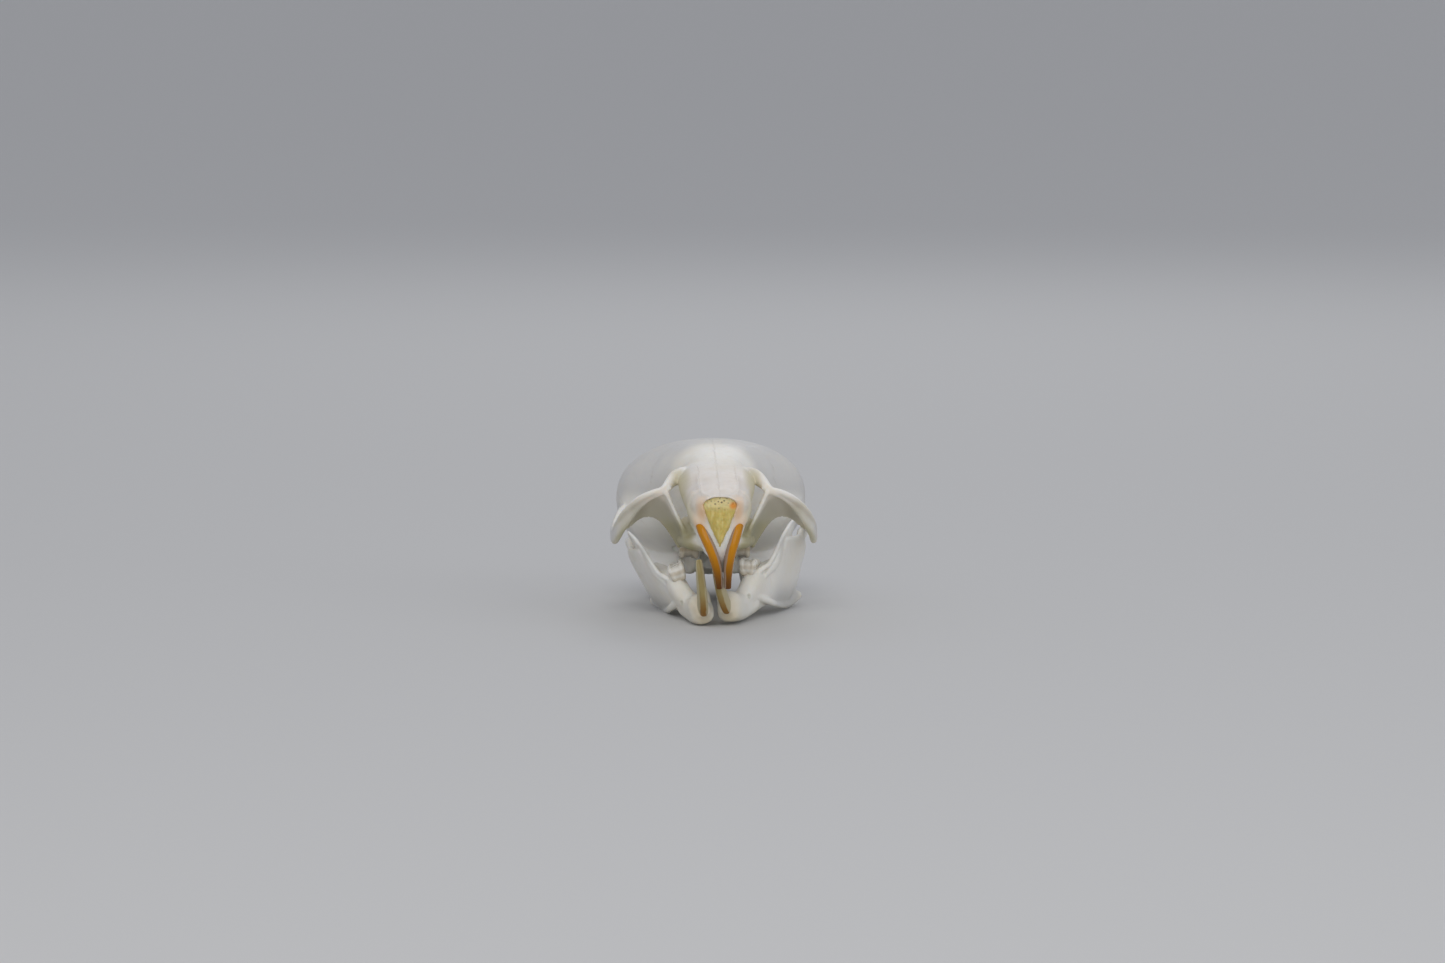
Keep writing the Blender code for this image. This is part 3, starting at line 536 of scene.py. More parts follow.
def skull_forms():
    """The closed forms whose union is the bony skull."""
    braincase = [
        (0.37, 0.35, 0.805, 0.45, 0.64),
        (0.43, 0.35, 0.87, 0.42, 0.70),
        (0.49, 0.49, 0.925, 0.33, 0.66),
        (0.546, 0.70, 0.962, 0.22, 0.60),
        (0.602, 0.89, 0.99, 0.09, 0.55),
        (0.662, 0.99, 1.00, 0.00, 0.52),
        (0.741, 1.00, 0.99, -0.04, 0.50),
        (0.815, 0.96, 0.945, -0.05, 0.47),
        (0.88, 0.87, 0.875, -0.04, 0.44),
        (0.925, 0.79, 0.81, -0.02, 0.42),
        (0.957, 0.70, 0.74, 0.02, 0.40),
        (0.98, 0.57, 0.64, 0.07, 0.37),
        (0.993, 0.38, 0.52, 0.14, 0.34),
        (0.998, 0.14, 0.40, 0.26, 0.33),
    ]
    snout = SNOUT_BREADTH / 2
    nose = SNOUT_HEIGHT
    rostrum = [
        (0.0, 0.42 * snout, nose, nose - 0.6, nose - 0.3),
        (0.35, 0.66 * snout, nose + 0.06, nose - 1.1, nose - 0.4),
        (0.75, 0.80 * snout, nose + 0.15, 1.85, nose - 0.55),
        (1.15, 0.86 * snout, nose + 0.24, 0.75, nose - 0.60),
        (1.60, 0.90 * snout, nose + 0.35, 0.00, nose - 0.65),
        (2.1, 0.92 * snout, nose + 0.5, -0.15, nose - 0.7),
        (3.0, 0.95 * snout, nose + 0.75, 0.15, nose - 0.6),
        (4.2, 1.01 * snout, nose + 1.05, 0.45, nose - 0.2),
        (5.4, 1.12 * snout, nose + 1.36, 0.66, nose + 0.35),
        (6.6, 1.10 * snout, nose + 1.63, 0.76, nose + 0.65),
        (7.6, 1.02 * snout, nose + 1.85, 0.82, nose + 0.80),
        (8.8, 0.96 * snout, nose + 2.15, 0.90, nose + 0.95),
    ]
    orbit_wall = [
        (6.0, 1.55, 4.7, 1.0, 3.0),
        (8.5, 1.45, 5.3, 1.0, 3.2),
        (11.0, 1.60, 5.8, 0.9, 3.2),
        (13.5, 2.20, 6.0, 0.7, 3.0),
    ]
    palate = [
        (2.6, 0.85, 1.4, 0.15, 0.9),
        (4.5, 0.95, 1.8, 0.40, 1.1),
        (6.6, 1.20, 2.2, 0.62, 1.4),
        (7.8, 1.85, 2.3, 0.80, 1.5),
        (9.5, 2.05, 2.4, PALATE_HEIGHT, 1.6),
        (11.6, 1.90, 2.4, PALATE_HEIGHT, 1.6),
        (12.8, 1.25, 2.3, 0.80, 1.5),
    ]
    maxilla = [
        (4.6, 1.20, 1.50, 0.60, 1.05),
        (5.6, 1.60, 1.50, 0.50, 1.00),
        (6.6, 2.00, 1.55, 0.45, 1.00),
        (7.8, 2.20, 1.70, 0.60, 1.15),
        (9.0, 2.10, 1.90, PALATE_HEIGHT, 1.35),
    ]
    skull_base = [
        (11.8, 0.75, 3.0, 0.55, 1.6),
        (13.5, 0.85, 2.5, -0.25, 1.0),
        (15.5, 1.10, 2.2, -0.80, 0.6),
        (17.6, 1.50, 2.2, -0.95, 0.5),
        (19.6, 1.65, 2.2, -0.75, 0.5),
        (20.9, 1.25, 1.5, -0.15, 0.7),
    ]
    forms = [
        along_head("braincase", scaled(braincase, BRAINCASE_SIZES), sides=88),
        along_head("rostrum", rostrum, power=2.7, pinch=0.5, sides=64),
        along_head("orbit_wall", orbit_wall, power=2.8),
        along_head("palate", palate, power=3.2),
        along_head("maxilla", maxilla, power=2.6),
        along_head("skull_base", skull_base, power=2.6),
    ]
    for _, side in SIDES:
        forms += [
            *zygomatic_forms(side),
            incisor_sheath(side),
            capsule(side),
            ball("ear_tube", (side * 3.15, 16.7, 0.50), (1.05, 1.15, 1.10)),
            ball("mastoid", (side * 3.45, 18.3, 1.1), (0.95, 1.20, 1.45)),
            ball("occipital_condyle", (side * 1.05, 21.0, 0.85), (0.48, 0.62, 0.75), 0.0, radians(25)),
            *processes(side),
        ]
    return forms


def skull_cuts():
    """The openings and pits of the bony skull, as solids to take away."""
    nose = SNOUT_HEIGHT
    nostril = [
        (-1.0, 0.93, nose - 0.08, 0.80, nose - 0.52),
        (1.3, 0.87, nose - 0.10, 0.90, nose - 0.54),
        (2.3, 0.50, nose - 0.40, 1.5, nose - 0.75),
    ]
    spinal_opening = [(0, 19.9, 2.0, 0.85, 0.80), (0, 21.0, 1.75, 1.12, 1.15), (0, 22.6, 1.4, 1.2, 1.25)]
    throat = [(12.4, 0.35, 1.0, -1.0, 0.2), (13.2, 0.60, 0.75, -1.2, 0.0), (14.6, 0.55, -0.05, -1.5, -0.6)]
    brain_room = [
        (0.78, 0.20, 0.60, 0.30, 0.45),
        (0.80, 0.80, 0.87, 0.04, 0.46),
        (0.88, 0.78, 0.81, 0.05, 0.44),
        (0.925, 0.69, 0.74, 0.07, 0.42),
        (0.957, 0.56, 0.64, 0.12, 0.39),
        (0.975, 0.34, 0.50, 0.18, 0.35),
    ]
    cuts = [
        along_head("nostril", nostril, power=2.1, pinch=0.80, sides=64),
        sweep("spinal_opening", spinal_opening, UP, sides=32),
        along_head("throat", throat),
        along_head("brain_room", scaled(brain_room, BRAINCASE_SIZES)),
    ]
    for _, side in SIDES:
        cuts += [
            ball("ear_hole", (side * 4.05, 16.8, 0.45), (1.00, 0.50, 0.56)),
            ball("palate_slit", (side * 0.30, 4.8, 0.35), (0.17, 1.75, 0.55)),
            ball("back_palate_hole", (side * 0.62, 10.6, 0.80), (0.12, 0.20, 0.22)),
            ball("eye_nerve_hole", (side * 1.62, 11.4, 3.05), (0.30, 0.22, 0.20)),
            ball("oval_hole", (side * 2.02, 13.55, 0.55), (0.22, 0.32, 0.24)),
            ball("side_hole", (side * 1.90, 8.9, 3.1), (0.25, 0.16, 0.14)),
            ball("jugular_slit", (side * 1.95, 18.6, -0.20), (0.18, 0.50, 0.30)),
        ]
    return cuts


def upper_incisor(name, side):
    """A curved chisel: its root lies in the snout, and its cutting edge slopes up behind.

    It is broader than its solid on the inner side, by the strip of dentine that shows there. The strip
    narrows to the tip, where the two teeth meet.
    """
    stations = []
    for degrees, apart, breadth, depth, strip in (
        (34, 1.18, 0.90, 0.85, 0.10),
        (14, 1.04, 1.00, 1.00, 0.10),
        (-1, 0.80, 1.00, 1.00, 0.10),
        (-16, 0.535, 0.96, 1.00, 0.10),
        (-32, 0.35, 0.90, 0.92, 0.09),
        (-45, 0.27, 0.80, 0.70, 0.055),
        (-56, 0.225, 0.74, 0.30, 0.03),
    ):
        place = apart + side * UPPER_INCISOR_LEAN * max(0.0, 14 - degrees) / 70 - strip / 2
        half_breadth = (UPPER_INCISOR_BREADTH * breadth + strip) / 2
        inset = -UPPER_INCISOR_DEPTH * (1 - depth) / 2
        stations.append(incisor_station(degrees, place, half_breadth, UPPER_INCISOR_DEPTH * depth / 2, inset))
    tooth = sweep(name, stations, (0, -1, 0.001), power=2.6, steps=9, sides=44, outward=radians(-27))
    return mirrored(tooth, side)


def molar_row(name, length, breadth, rise, lean):
    """Three molars along y, their necks at z = 0 and smaller to the back, with two rows of cusps.

    The cusps on the side that lean names are the taller ones.
    """
    forms = []
    front = 0.0
    for share, wide, rows in ((0.50, 1.0, 3), (0.31, 0.94, 2), (0.19, 0.72, 1)):
        long = share * length
        half = breadth * wide / 2
        middle = front + long / 2
        crown = [
            (0, middle, -0.45, half * 0.52, long * 0.36),
            (0, middle, 0.0, half * 0.66, long * 0.43),
            (0, middle, rise * 0.30, half * 0.84, long * 0.50),
            (0, middle, rise * 0.62, half * 0.96, long * 0.50),
        ]
        forms.append(sweep("crown", crown, (0, 1, 0), power=2.5, sides=32))
        for row in range(rows):
            at = front + long * (row + 0.5) / rows
            size = long / rows
            for across in (-0.5, 0.5):
                tall = rise * (1.04 if across * lean > 0 else 0.98)
                cusp = [
                    (across * half * 0.84, at, -0.10 * tall, half * 0.34, size * 0.42),
                    (across * half * 1.08, at, 0.40 * tall, half * 0.38, size * 0.52),
                    (across * half * 1.28, at + size * 0.05, 0.82 * tall, half * 0.32, size * 0.46),
                    (across * half * 1.34, at + size * 0.10, 1.02 * tall, half * 0.17, size * 0.24),
                ]
                forms.append(sweep("cusp", cusp, (0, 1, 0), sides=18))
            crest = (half * 0.72, size * 0.42, rise * 0.34)
            forms.append(ball("crest", (0, at, rise * 0.60), crest, tilt_x=radians(-18)))
        front += long
    row = combine(forms[0], forms[1:], "UNION")
    row.name = name
    return melt(row, MOLAR_GRAIN, 3)


def move(obj, matrix):
    obj.data.transform(matrix)
    if matrix.determinant() < 0:
        obj.data.flip_normals()
    return obj


def upper_molars(name, side):
    row = molar_row(name, MOLAR_ROW, MOLAR_BREADTH, PALATE_HEIGHT, side)
    x, y, z = UPPER_MOLAR_BED
    return move(row, Matrix.Translation((side * x, y, z)) @ Matrix.Rotation(pi, 4, "Y"))


def jaw_forms():
    """The closed forms of one half of the lower jaw, in its own frame.

    Places along and up are shares of the jaw's length and height, and places outwards are shares of its splay
    or millimetres, as each form's line says.
    """
    chin = [
        (0.24, 0.06, 0.17, 0.44, 0.50),
        (0.28, 0.095, 0.165, 0.64, 0.82),
        (0.36, 0.15, 0.15, 0.70, 0.80),
        (0.47, 0.215, 0.15, 0.68, 0.78),
        (0.62, 0.29, 0.166, 0.62, 0.76),
        (0.80, 0.37, 0.205, 0.60, 0.80),
    ]
    tooth_bearer = [
        (0.66, 0.215, 0.19, 0.42, 0.52, 0.25),
        (0.74, 0.29, 0.225, 0.54, 1.02, 0.25),
        (0.88, 0.37, 0.275, 0.58, 1.30, 0.22),
        (1.02, 0.50, 0.32, 0.64, 1.22, 0.10),
        (1.34, 0.63, 0.37, 0.52, 1.15),
        (1.68, 0.74, 0.42, 0.32, 1.10),
    ]
    rim = [
        (-0.16, 0.125, 0.17, 0.20, 0.35),
        (-0.21, 0.085, 0.27, 0.17, 0.36),
        (-0.23, 0.055, 0.34, 0.12, 0.24),
    ]
    ramus = [
        (0.55, 0.47, 0.36, 0.16, 0.80, 0.12),
        (0.75, 0.62, 0.415, 0.20, 1.48, 0.14),
        (0.90, 0.73, 0.505, 0.22, 1.92, 0.14),
        (1.00, 0.82, 0.635, 0.25, 1.30, 0.14),
        (1.03, 0.89, 0.74, 0.22, 0.62, 0.0),
    ]
    coronoid = [
        (0.58, 0.405, 0.42, 0.16, 0.16),
        (0.66, 0.475, 0.49, 0.18, 0.26),
        (0.755, 0.565, 0.585, 0.18, 0.42),
        (0.82, 0.645, 0.735, 0.16, 0.55),
        (0.91, 0.702, 0.86, 0.13, 0.38),
        (0.975, 0.732, 0.96, 0.09, 0.14),
    ]
    coronoid_edge = [
        (0.48, 0.34, 0.46, 0.16, 0.14),
        (0.60, 0.38, 0.515, 0.15, 0.13),
        (0.68, 0.43, 0.55, 0.13, 0.12),
        (0.74, 0.505, 0.635, 0.12, 0.11),
        (0.82, 0.615, 0.80, 0.11, 0.11),
        (0.905, 0.68, 0.907, 0.11, 0.11),
        (0.98, 0.725, 0.98, 0.08, 0.08),
    ]
    condyle = [
        (1.03, 0.80, 0.66, 0.18, 0.55),
        (1.00, 0.88, 0.77, 0.22, 0.55),
        (0.98, 0.955, 0.83, 0.28, 0.29),
        (0.98, 0.99, 0.82, 0.24, 0.21),
    ]
    angle = [
        (0.60, 0.62, 0.28, 0.22, 0.90, -0.15),
        (0.69, 0.72, 0.255, 0.18, 0.92, -0.30),
        (0.78, 0.82, 0.225, 0.16, 0.72, -0.35),
        (0.86, 0.91, 0.20, 0.16, 0.44, -0.25),
        (0.93, 0.98, 0.195, 0.13, 0.20),
    ]
    ridge = [
        (0.50, 0.33, 0.25, 0.16, 0.20),
        (0.66, 0.50, 0.18, 0.15, 0.20),
        (0.74, 0.64, 0.13, 0.14, 0.16),
        (0.80, 0.78, 0.11, 0.12, 0.14),
        (0.85, 0.87, 0.12, 0.10, 0.11),
    ]
    shapes = (
        (chin, 1.0, UP, 2.5),
        (tooth_bearer, 1.0, UP, 2.5),
        (rim, 1.0, (0, 1, 0), 2.2),
        (ramus, JAW_SPLAY, UP, 2.2),
        (coronoid, JAW_SPLAY, (0, -0.64, 0.77), 2.2),
        (coronoid_edge, JAW_SPLAY, (0, 1, 0.2), 2.0),
        (condyle, JAW_SPLAY, UP, 2.2),
        (angle, JAW_SPLAY, UP, 2.2),
        (ridge, JAW_SPLAY, UP, 2.2),
    )
    return [
        sweep("jaw", scaled(stations, (across, JAW_LENGTH, JAW_HEIGHT)), lie, power=power, sides=32)
        for stations, across, lie, power in shapes
    ]


def jaw_cuts():
    """The small pits of one half of the lower jaw."""
    return [
        ball("chin_hole", JAW_PITS[0], (0.14, 0.12, 0.10)),
        ball("side_hole", JAW_PITS[1], (0.13, 0.11, 0.09)),
        ball("inner_hole", (0.60 * JAW_SPLAY, 0.63 * JAW_LENGTH, 0.50 * JAW_HEIGHT), (0.22, 0.22, 0.13)),
    ]


def lower_incisor(name, lean, outward, tip_height):
    """A long curved blade from inside the front of the jaw, leaning towards the middle at its tip."""
    thick = LOWER_INCISOR_BREADTH / 2
    deep = LOWER_INCISOR_DEPTH / 2
    shaft = [
        (0.44 - lean * z, y, z, thick * across, deep * depth)
        for y, z, across, depth in (
            (2.60, 0.66, 0.90, 0.80),
            (1.40, 0.70, 1.00, 1.00),
            (0.50, 0.98, 1.00, 1.00),
            (-0.10, 1.58, 0.96, 1.00),
            (-0.46, 2.42, 0.88, 0.85),
            (-0.62, 3.12, 0.78, 0.55),
            (-0.68, tip_height, 0.64, 0.22),
        )
    ]
    return sweep(name, shaft, (0, -0.7, -0.7), power=2.6, steps=9, sides=40, outward=outward)


def lower_molars(name):
    row = molar_row(name, MOLAR_ROW * 0.94, MOLAR_BREADTH * 0.9, CROWN_RISE, -1)
    slope = Matrix.Rotation(radians(4), 4, "Z") @ Matrix.Rotation(radians(-2), 4, "X")
    return move(row, Matrix.Translation(LOWER_MOLAR_BED) @ slope)


def head_matrix():
    turn = Matrix.Rotation(HEAD_YAW, 4, "Z") @ Matrix.Rotation(-HEAD_PITCH, 4, "X")
    return Matrix.Translation(NOSE_PLACE) @ turn


def jaw_matrix(side):
    turns, place = JAW_POSES[side]
    spin = Matrix.Rotation(radians(turns.z), 4, "Z") @ Matrix.Rotation(radians(turns.y), 4, "Y")
    return Matrix.Translation(place) @ spin @ Matrix.Rotation(radians(turns.x), 4, "X")


def set_down(obj, matrix, finish):
    """Puts a piece made in millimetres in its place and gives it its finish."""
    move(obj, Matrix.Scale(MM, 4) @ Matrix.Translation(-MIDDLE) @ matrix)
    for vert in obj.data.vertices:
        vert.co.z = max(vert.co.z, 0.0)
    obj.data.materials.clear()
    obj.data.materials.append(finish)
    obj.data.shade_smooth()
    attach(obj, "root")


def stand_for(nodes, obj, matrix, finish):
    """Sets a piece down in place of its solids."""
    set_down(obj, matrix, finish)
    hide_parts(*nodes)


# Finishes

def shader_tree(name):
    made = bpy.data.materials.new(name)
    made.use_nodes = True
    tree = made.node_tree
    return made, tree, tree.nodes["Principled BSDF"]


def plug(tree, node, sockets):
    """Gives a node its inputs, each as a value or as a link."""
    for key, value in sockets.items():
        socket = node.inputs[key]
        if isinstance(value, bpy.types.NodeSocket):
            tree.links.new(value, socket)
        elif socket.type == "RGBA":
            socket.default_value = (*value, 1.0)
        else:
            socket.default_value = value


def add_node(tree, kind, sockets=None, **settings):
    """The outputs of a new node with its settings and inputs."""
    node = tree.nodes.new("ShaderNode" + kind)
    for key, setting in settings.items():
        setattr(node, key, setting)
    plug(tree, node, sockets or {})
    return node.outputs


def calculate(tree, operation, first, *others):
    """One operation on several values, taken in turn."""
    for other in others:
        first = add_node(tree, "Math", {0: first, 1: other}, operation=operation)[0]
    return first


def plus(tree, *values):
    return calculate(tree, "ADD", *values)


def minus(tree, *values):
    return calculate(tree, "SUBTRACT", *values)


def times(tree, *values):
    return calculate(tree, "MULTIPLY", *values)


def size_of(tree, value):
    return add_node(tree, "Math", {0: value}, operation="ABSOLUTE")[0]


def stretched(tree, place, factors):
    return add_node(tree, "VectorMath", {0: place, 1: factors}, operation="MULTIPLY")[0]


def distance(tree, place, point):
    return add_node(tree, "VectorMath", {0: place, 1: point}, operation="DISTANCE")["Value"]


def axes_of(tree, place):
    return tuple(add_node(tree, "SeparateXYZ", {0: place}))


def in_millimetres(tree):
    """Object coordinates with the millimetre as their unit."""
    return stretched(tree, add_node(tree, "TexCoord")["Object"], (1 / MM, 1 / MM, 1 / MM))


def in_head_frame(tree):
    """Object coordinates turned back to the head's own frame, in millimetres."""
    turn = Matrix.Translation(-MIDDLE) @ head_matrix()
    sockets = {
        "Vector": add_node(tree, "TexCoord")["Object"],
        "Location": turn.to_translation() * MM,
        "Rotation": turn.to_euler(),
        "Scale": (MM, MM, MM),
    }
    return add_node(tree, "Mapping", sockets, vector_type="TEXTURE")[0]


def speckle(tree, place, scale, detail=3.0, rough=0.5):
    sockets = {"Vector": place, "Scale": scale, "Detail": detail, "Roughness": rough}
    return add_node(tree, "TexNoise", sockets)["Fac"]


def cells(tree, place, scale):
    return add_node(tree, "TexVoronoi", {"Vector": place, "Scale": scale})["Distance"]


def ramp(tree, value, low, high, start=0.0, end=1.0):
    sockets = {"Value": value, "From Min": low, "From Max": high, "To Min": start, "To Max": end}
    return add_node(tree, "MapRange", sockets, interpolation_type="SMOOTHSTEP")[0]


def painted(tree, name):
    return add_node(tree, "Attribute", attribute_name=name)["Fac"]


def relief_of(tree, height, depth, strength):
    sockets = {"Height": height, "Distance": depth, "Strength": strength}
    return add_node(tree, "Bump", sockets)["Normal"]


def tint(tree, base, colour, share):
    """The base colour, turned to another colour by a share."""
    return add_node(tree, "Mix", {0: share, 6: base, 7: colour}, data_type="RGBA")[2]


def line_at(tree, value, width):
    """1 on the line where value is 0, falling off within this width."""
    return ramp(tree, size_of(tree, value), 0.0, width, 1.0, 0.0)


def within(tree, value, low, high, soft=0.3):
    """1 between low and high, with soft ends."""
    return times(tree, ramp(tree, value, low - soft, low), ramp(tree, value, high, high + soft, 1.0, 0.0))


def seams_of_the_skull(tree, place):
    """Where the flat bones of the skull meet: fine wavy lines."""
    x, y, z = axes_of(tree, place)
    side_x = size_of(tree, x)
    x_squared = times(tree, x, x)
    wobble = minus(tree, speckle(tree, place, 2.2, 4.0, 0.7), 0.5)
    wavy_x = plus(tree, x, times(tree, wobble, 0.45))
    wavy_y = plus(tree, y, times(tree, wobble, 0.9))
    wavy_z = plus(tree, z, times(tree, wobble, 0.45))
    lines = [times(tree, line_at(tree, wavy_x, 0.05), within(tree, y, 0.1, 17.6), ramp(tree, z, 3.0, 3.4))]
    across_head = ((7.3, -0.10, 1.5, 4.4), (12.7, -0.10, 4.6, 4.2), (17.7, -0.02, 5.4, 2.4))
    for back, bow, reach, floor in across_head:
        line = line_at(tree, minus(tree, wavy_y, back, times(tree, x_squared, bow)), 0.05)
        near = ramp(tree, x_squared, reach * reach, reach * reach + 2.0, 1.0, 0.0)
        lines.append(times(tree, line, near, ramp(tree, z, floor - 0.4, floor)))
    nasal = line_at(tree, minus(tree, plus(tree, side_x, times(tree, wobble, 0.3)), 1.02), 0.045)
    lines.append(times(tree, nasal, within(tree, y, 0.6, 7.0), ramp(tree, z, 3.2, 3.6)))
    flank = add_node(tree, "CombineXYZ", {"Y": wavy_y, "Z": wavy_z})[0]
    temple = line_at(tree, minus(tree, distance(tree, flank, (0.0, 15.2, 1.2)), 2.5), 0.05)
    lines.append(times(tree, temple, ramp(tree, side_x, 3.0, 3.6), ramp(tree, z, 1.6, 2.2)))
    return calculate(tree, "MAXIMUM", *lines)


def bone_finish(name, place_of, with_seams, glow):
    """Cleaned bone: cream to white, greyer where it is thin, stained, with painted shade and painted
    highlights, fine grain and pits.
    """
    made, tree, shader = shader_tree(name)
    place = place_of(tree)
    clouds = speckle(tree, place, 0.45, 4.0)
    mottle = speckle(tree, place, 2.4, 5.0, 0.6)
    colour = tint(tree, (0.84, 0.80, 0.70), (0.88, 0.86, 0.80), ramp(tree, clouds, 0.35, 0.65))
    colour = tint(tree, colour, (0.76, 0.69, 0.54), ramp(tree, mottle, 0.55, 0.80, 0.0, 0.30))
    thin = times(tree, painted(tree, "thin"), ramp(tree, clouds, 0.2, 0.6, 0.7, 1.0))
    colour = tint(tree, colour, (0.575, 0.57, 0.56), thin)
    # Among these marks, shade is painted shade and edge a painted highlight; tissue and blush also carry
    # painted shade in places.
    marks = {"glow": glow, "shade": (0.33, 0.31, 0.21), "edge": (0.93, 0.92, 0.88)}
    if with_seams:
        marks = {"blush_and_shade": (0.70, 0.60, 0.54), "tissue": (0.52, 0.47, 0.25), **marks}
    for mark, stained in marks.items():
        colour = tint(tree, colour, stained, painted(tree, mark))
    pits = ramp(tree, cells(tree, place, 4.2), 0.04, 0.16)
    height = plus(tree, times(tree, mottle, 0.5), times(tree, pits, 0.25))
    if with_seams:
        seams = times(tree, seams_of_the_skull(tree, place), ramp(tree, clouds, 0.3, 0.6, 0.5, 1.0))
        colour = tint(tree, colour, (0.50, 0.43, 0.33), times(tree, seams, 0.16))
        height = minus(tree, height, times(tree, seams, 0.55))
    finish = {
        "Base Color": colour,
        "Roughness": ramp(tree, mottle, 0.3, 0.7, 0.38, 0.54),
        "Normal": relief_of(tree, height, 0.00003, 0.8),
        "Subsurface Weight": 0.25,
        "Subsurface Radius": (1.0, 0.8, 0.6),
        "Subsurface Scale": 0.0006,
        "IOR": 1.50,
        "Specular IOR Level": 0.36,
    }
    plug(tree, shader, finish)
    return made


def enamel_finish(name, root, tip, side, low, high, band):
    """Enamel on the face of a gnawing tooth, from its root to its tip, and dentine beyond the band."""
    made, tree, shader = shader_tree(name)
    place = in_millimetres(tree)
    streaks = speckle(tree, stretched(tree, place, (5.0, 2.0, 0.9)), 1.0, 3.0)
    darker_root = tuple(channel * 0.55 for channel in root)
    colour = tint(tree, tip, root, ramp(tree, axes_of(tree, place)[2], low, high))
    colour = tint(tree, colour, darker_root, ramp(tree, streaks, 0.5, 0.85, 0.0, 0.45))
    facing = plus(tree, painted(tree, "front"), times(tree, minus(tree, streaks, 0.5), 0.25))
    finish = {
        "Base Color": tint(tree, side, colour, ramp(tree, facing, band - 0.08, band + 0.08)),
        "Roughness": ramp(tree, facing, band - 0.1, band + 0.1, 0.42, 0.20),
        "Normal": relief_of(tree, streaks, 0.00002, 0.35),
        "Coat Weight": 0.06,
        "Coat Roughness": 0.15,
        "Specular IOR Level": 0.22,
    }
    plug(tree, shader, finish)
    return made


def molar_finish():
    """Off-white enamel with brown in its folds, painted shade where the molar mark lays it on, and a
    translucent look.
    """
    made, tree, shader = shader_tree("molar enamel")
    clouds = speckle(tree, in_millimetres(tree), 2.2, 4.0)
    colour = tint(tree, (0.74, 0.71, 0.63), (0.82, 0.80, 0.75), ramp(tree, clouds, 0.35, 0.65))
    finish = {
        "Base Color": tint(tree, colour, (0.45, 0.36, 0.22), painted(tree, "fold_and_shade")),
        "Roughness": ramp(tree, clouds, 0.3, 0.7, 0.20, 0.36),
        "Normal": relief_of(tree, clouds, 0.00002, 0.4),
        "Subsurface Weight": 0.2,
        "Subsurface Radius": (1.0, 0.85, 0.7),
        "Subsurface Scale": 0.0004,
    }
    plug(tree, shader, finish)
    return made


def tissue_finish():
    """Dried lining of the nose: olive yellow and streaked, with dark specks and an orange fleck above."""
    made, tree, shader = shader_tree("dried tissue")
    place = in_head_frame(tree)
    streaks = speckle(tree, stretched(tree, place, (5.0, 1.0, 1.1)), 1.4, 4.0, 0.6)
    x, _, z = axes_of(tree, place)
    top = ramp(tree, z, 2.55, 3.1)
    colour = tint(tree, (0.62, 0.48, 0.12), (0.74, 0.62, 0.24), ramp(tree, streaks, 0.40, 0.75))
    colour = tint(tree, colour, (0.82, 0.70, 0.36), times(tree, top, 0.8))
    specks = ramp(tree, cells(tree, place, 5.5), 0.20, 0.38, 1.0, 0.0)
    dark = times(tree, specks, top, line_at(tree, x, 0.80), 0.85)
    colour = tint(tree, colour, (0.10, 0.07, 0.05), dark)
    fleck = ramp(tree, distance(tree, place, (0.70, 0.34, 2.98)), 0.08, 0.30, 1.0, 0.0)
    finish = {
        "Base Color": tint(tree, colour, (0.80, 0.31, 0.04), fleck),
        "Roughness": 0.42,
        "Normal": relief_of(tree, streaks, 0.00008, 0.9),
        "Subsurface Weight": 0.15,
        "Subsurface Scale": 0.0004,
    }
    plug(tree, shader, finish)
    return made


# Colours that follow the shape

def bell(value, middle, width):
    away = (value - middle) / width
    return max(0.0, 1 - away * away)


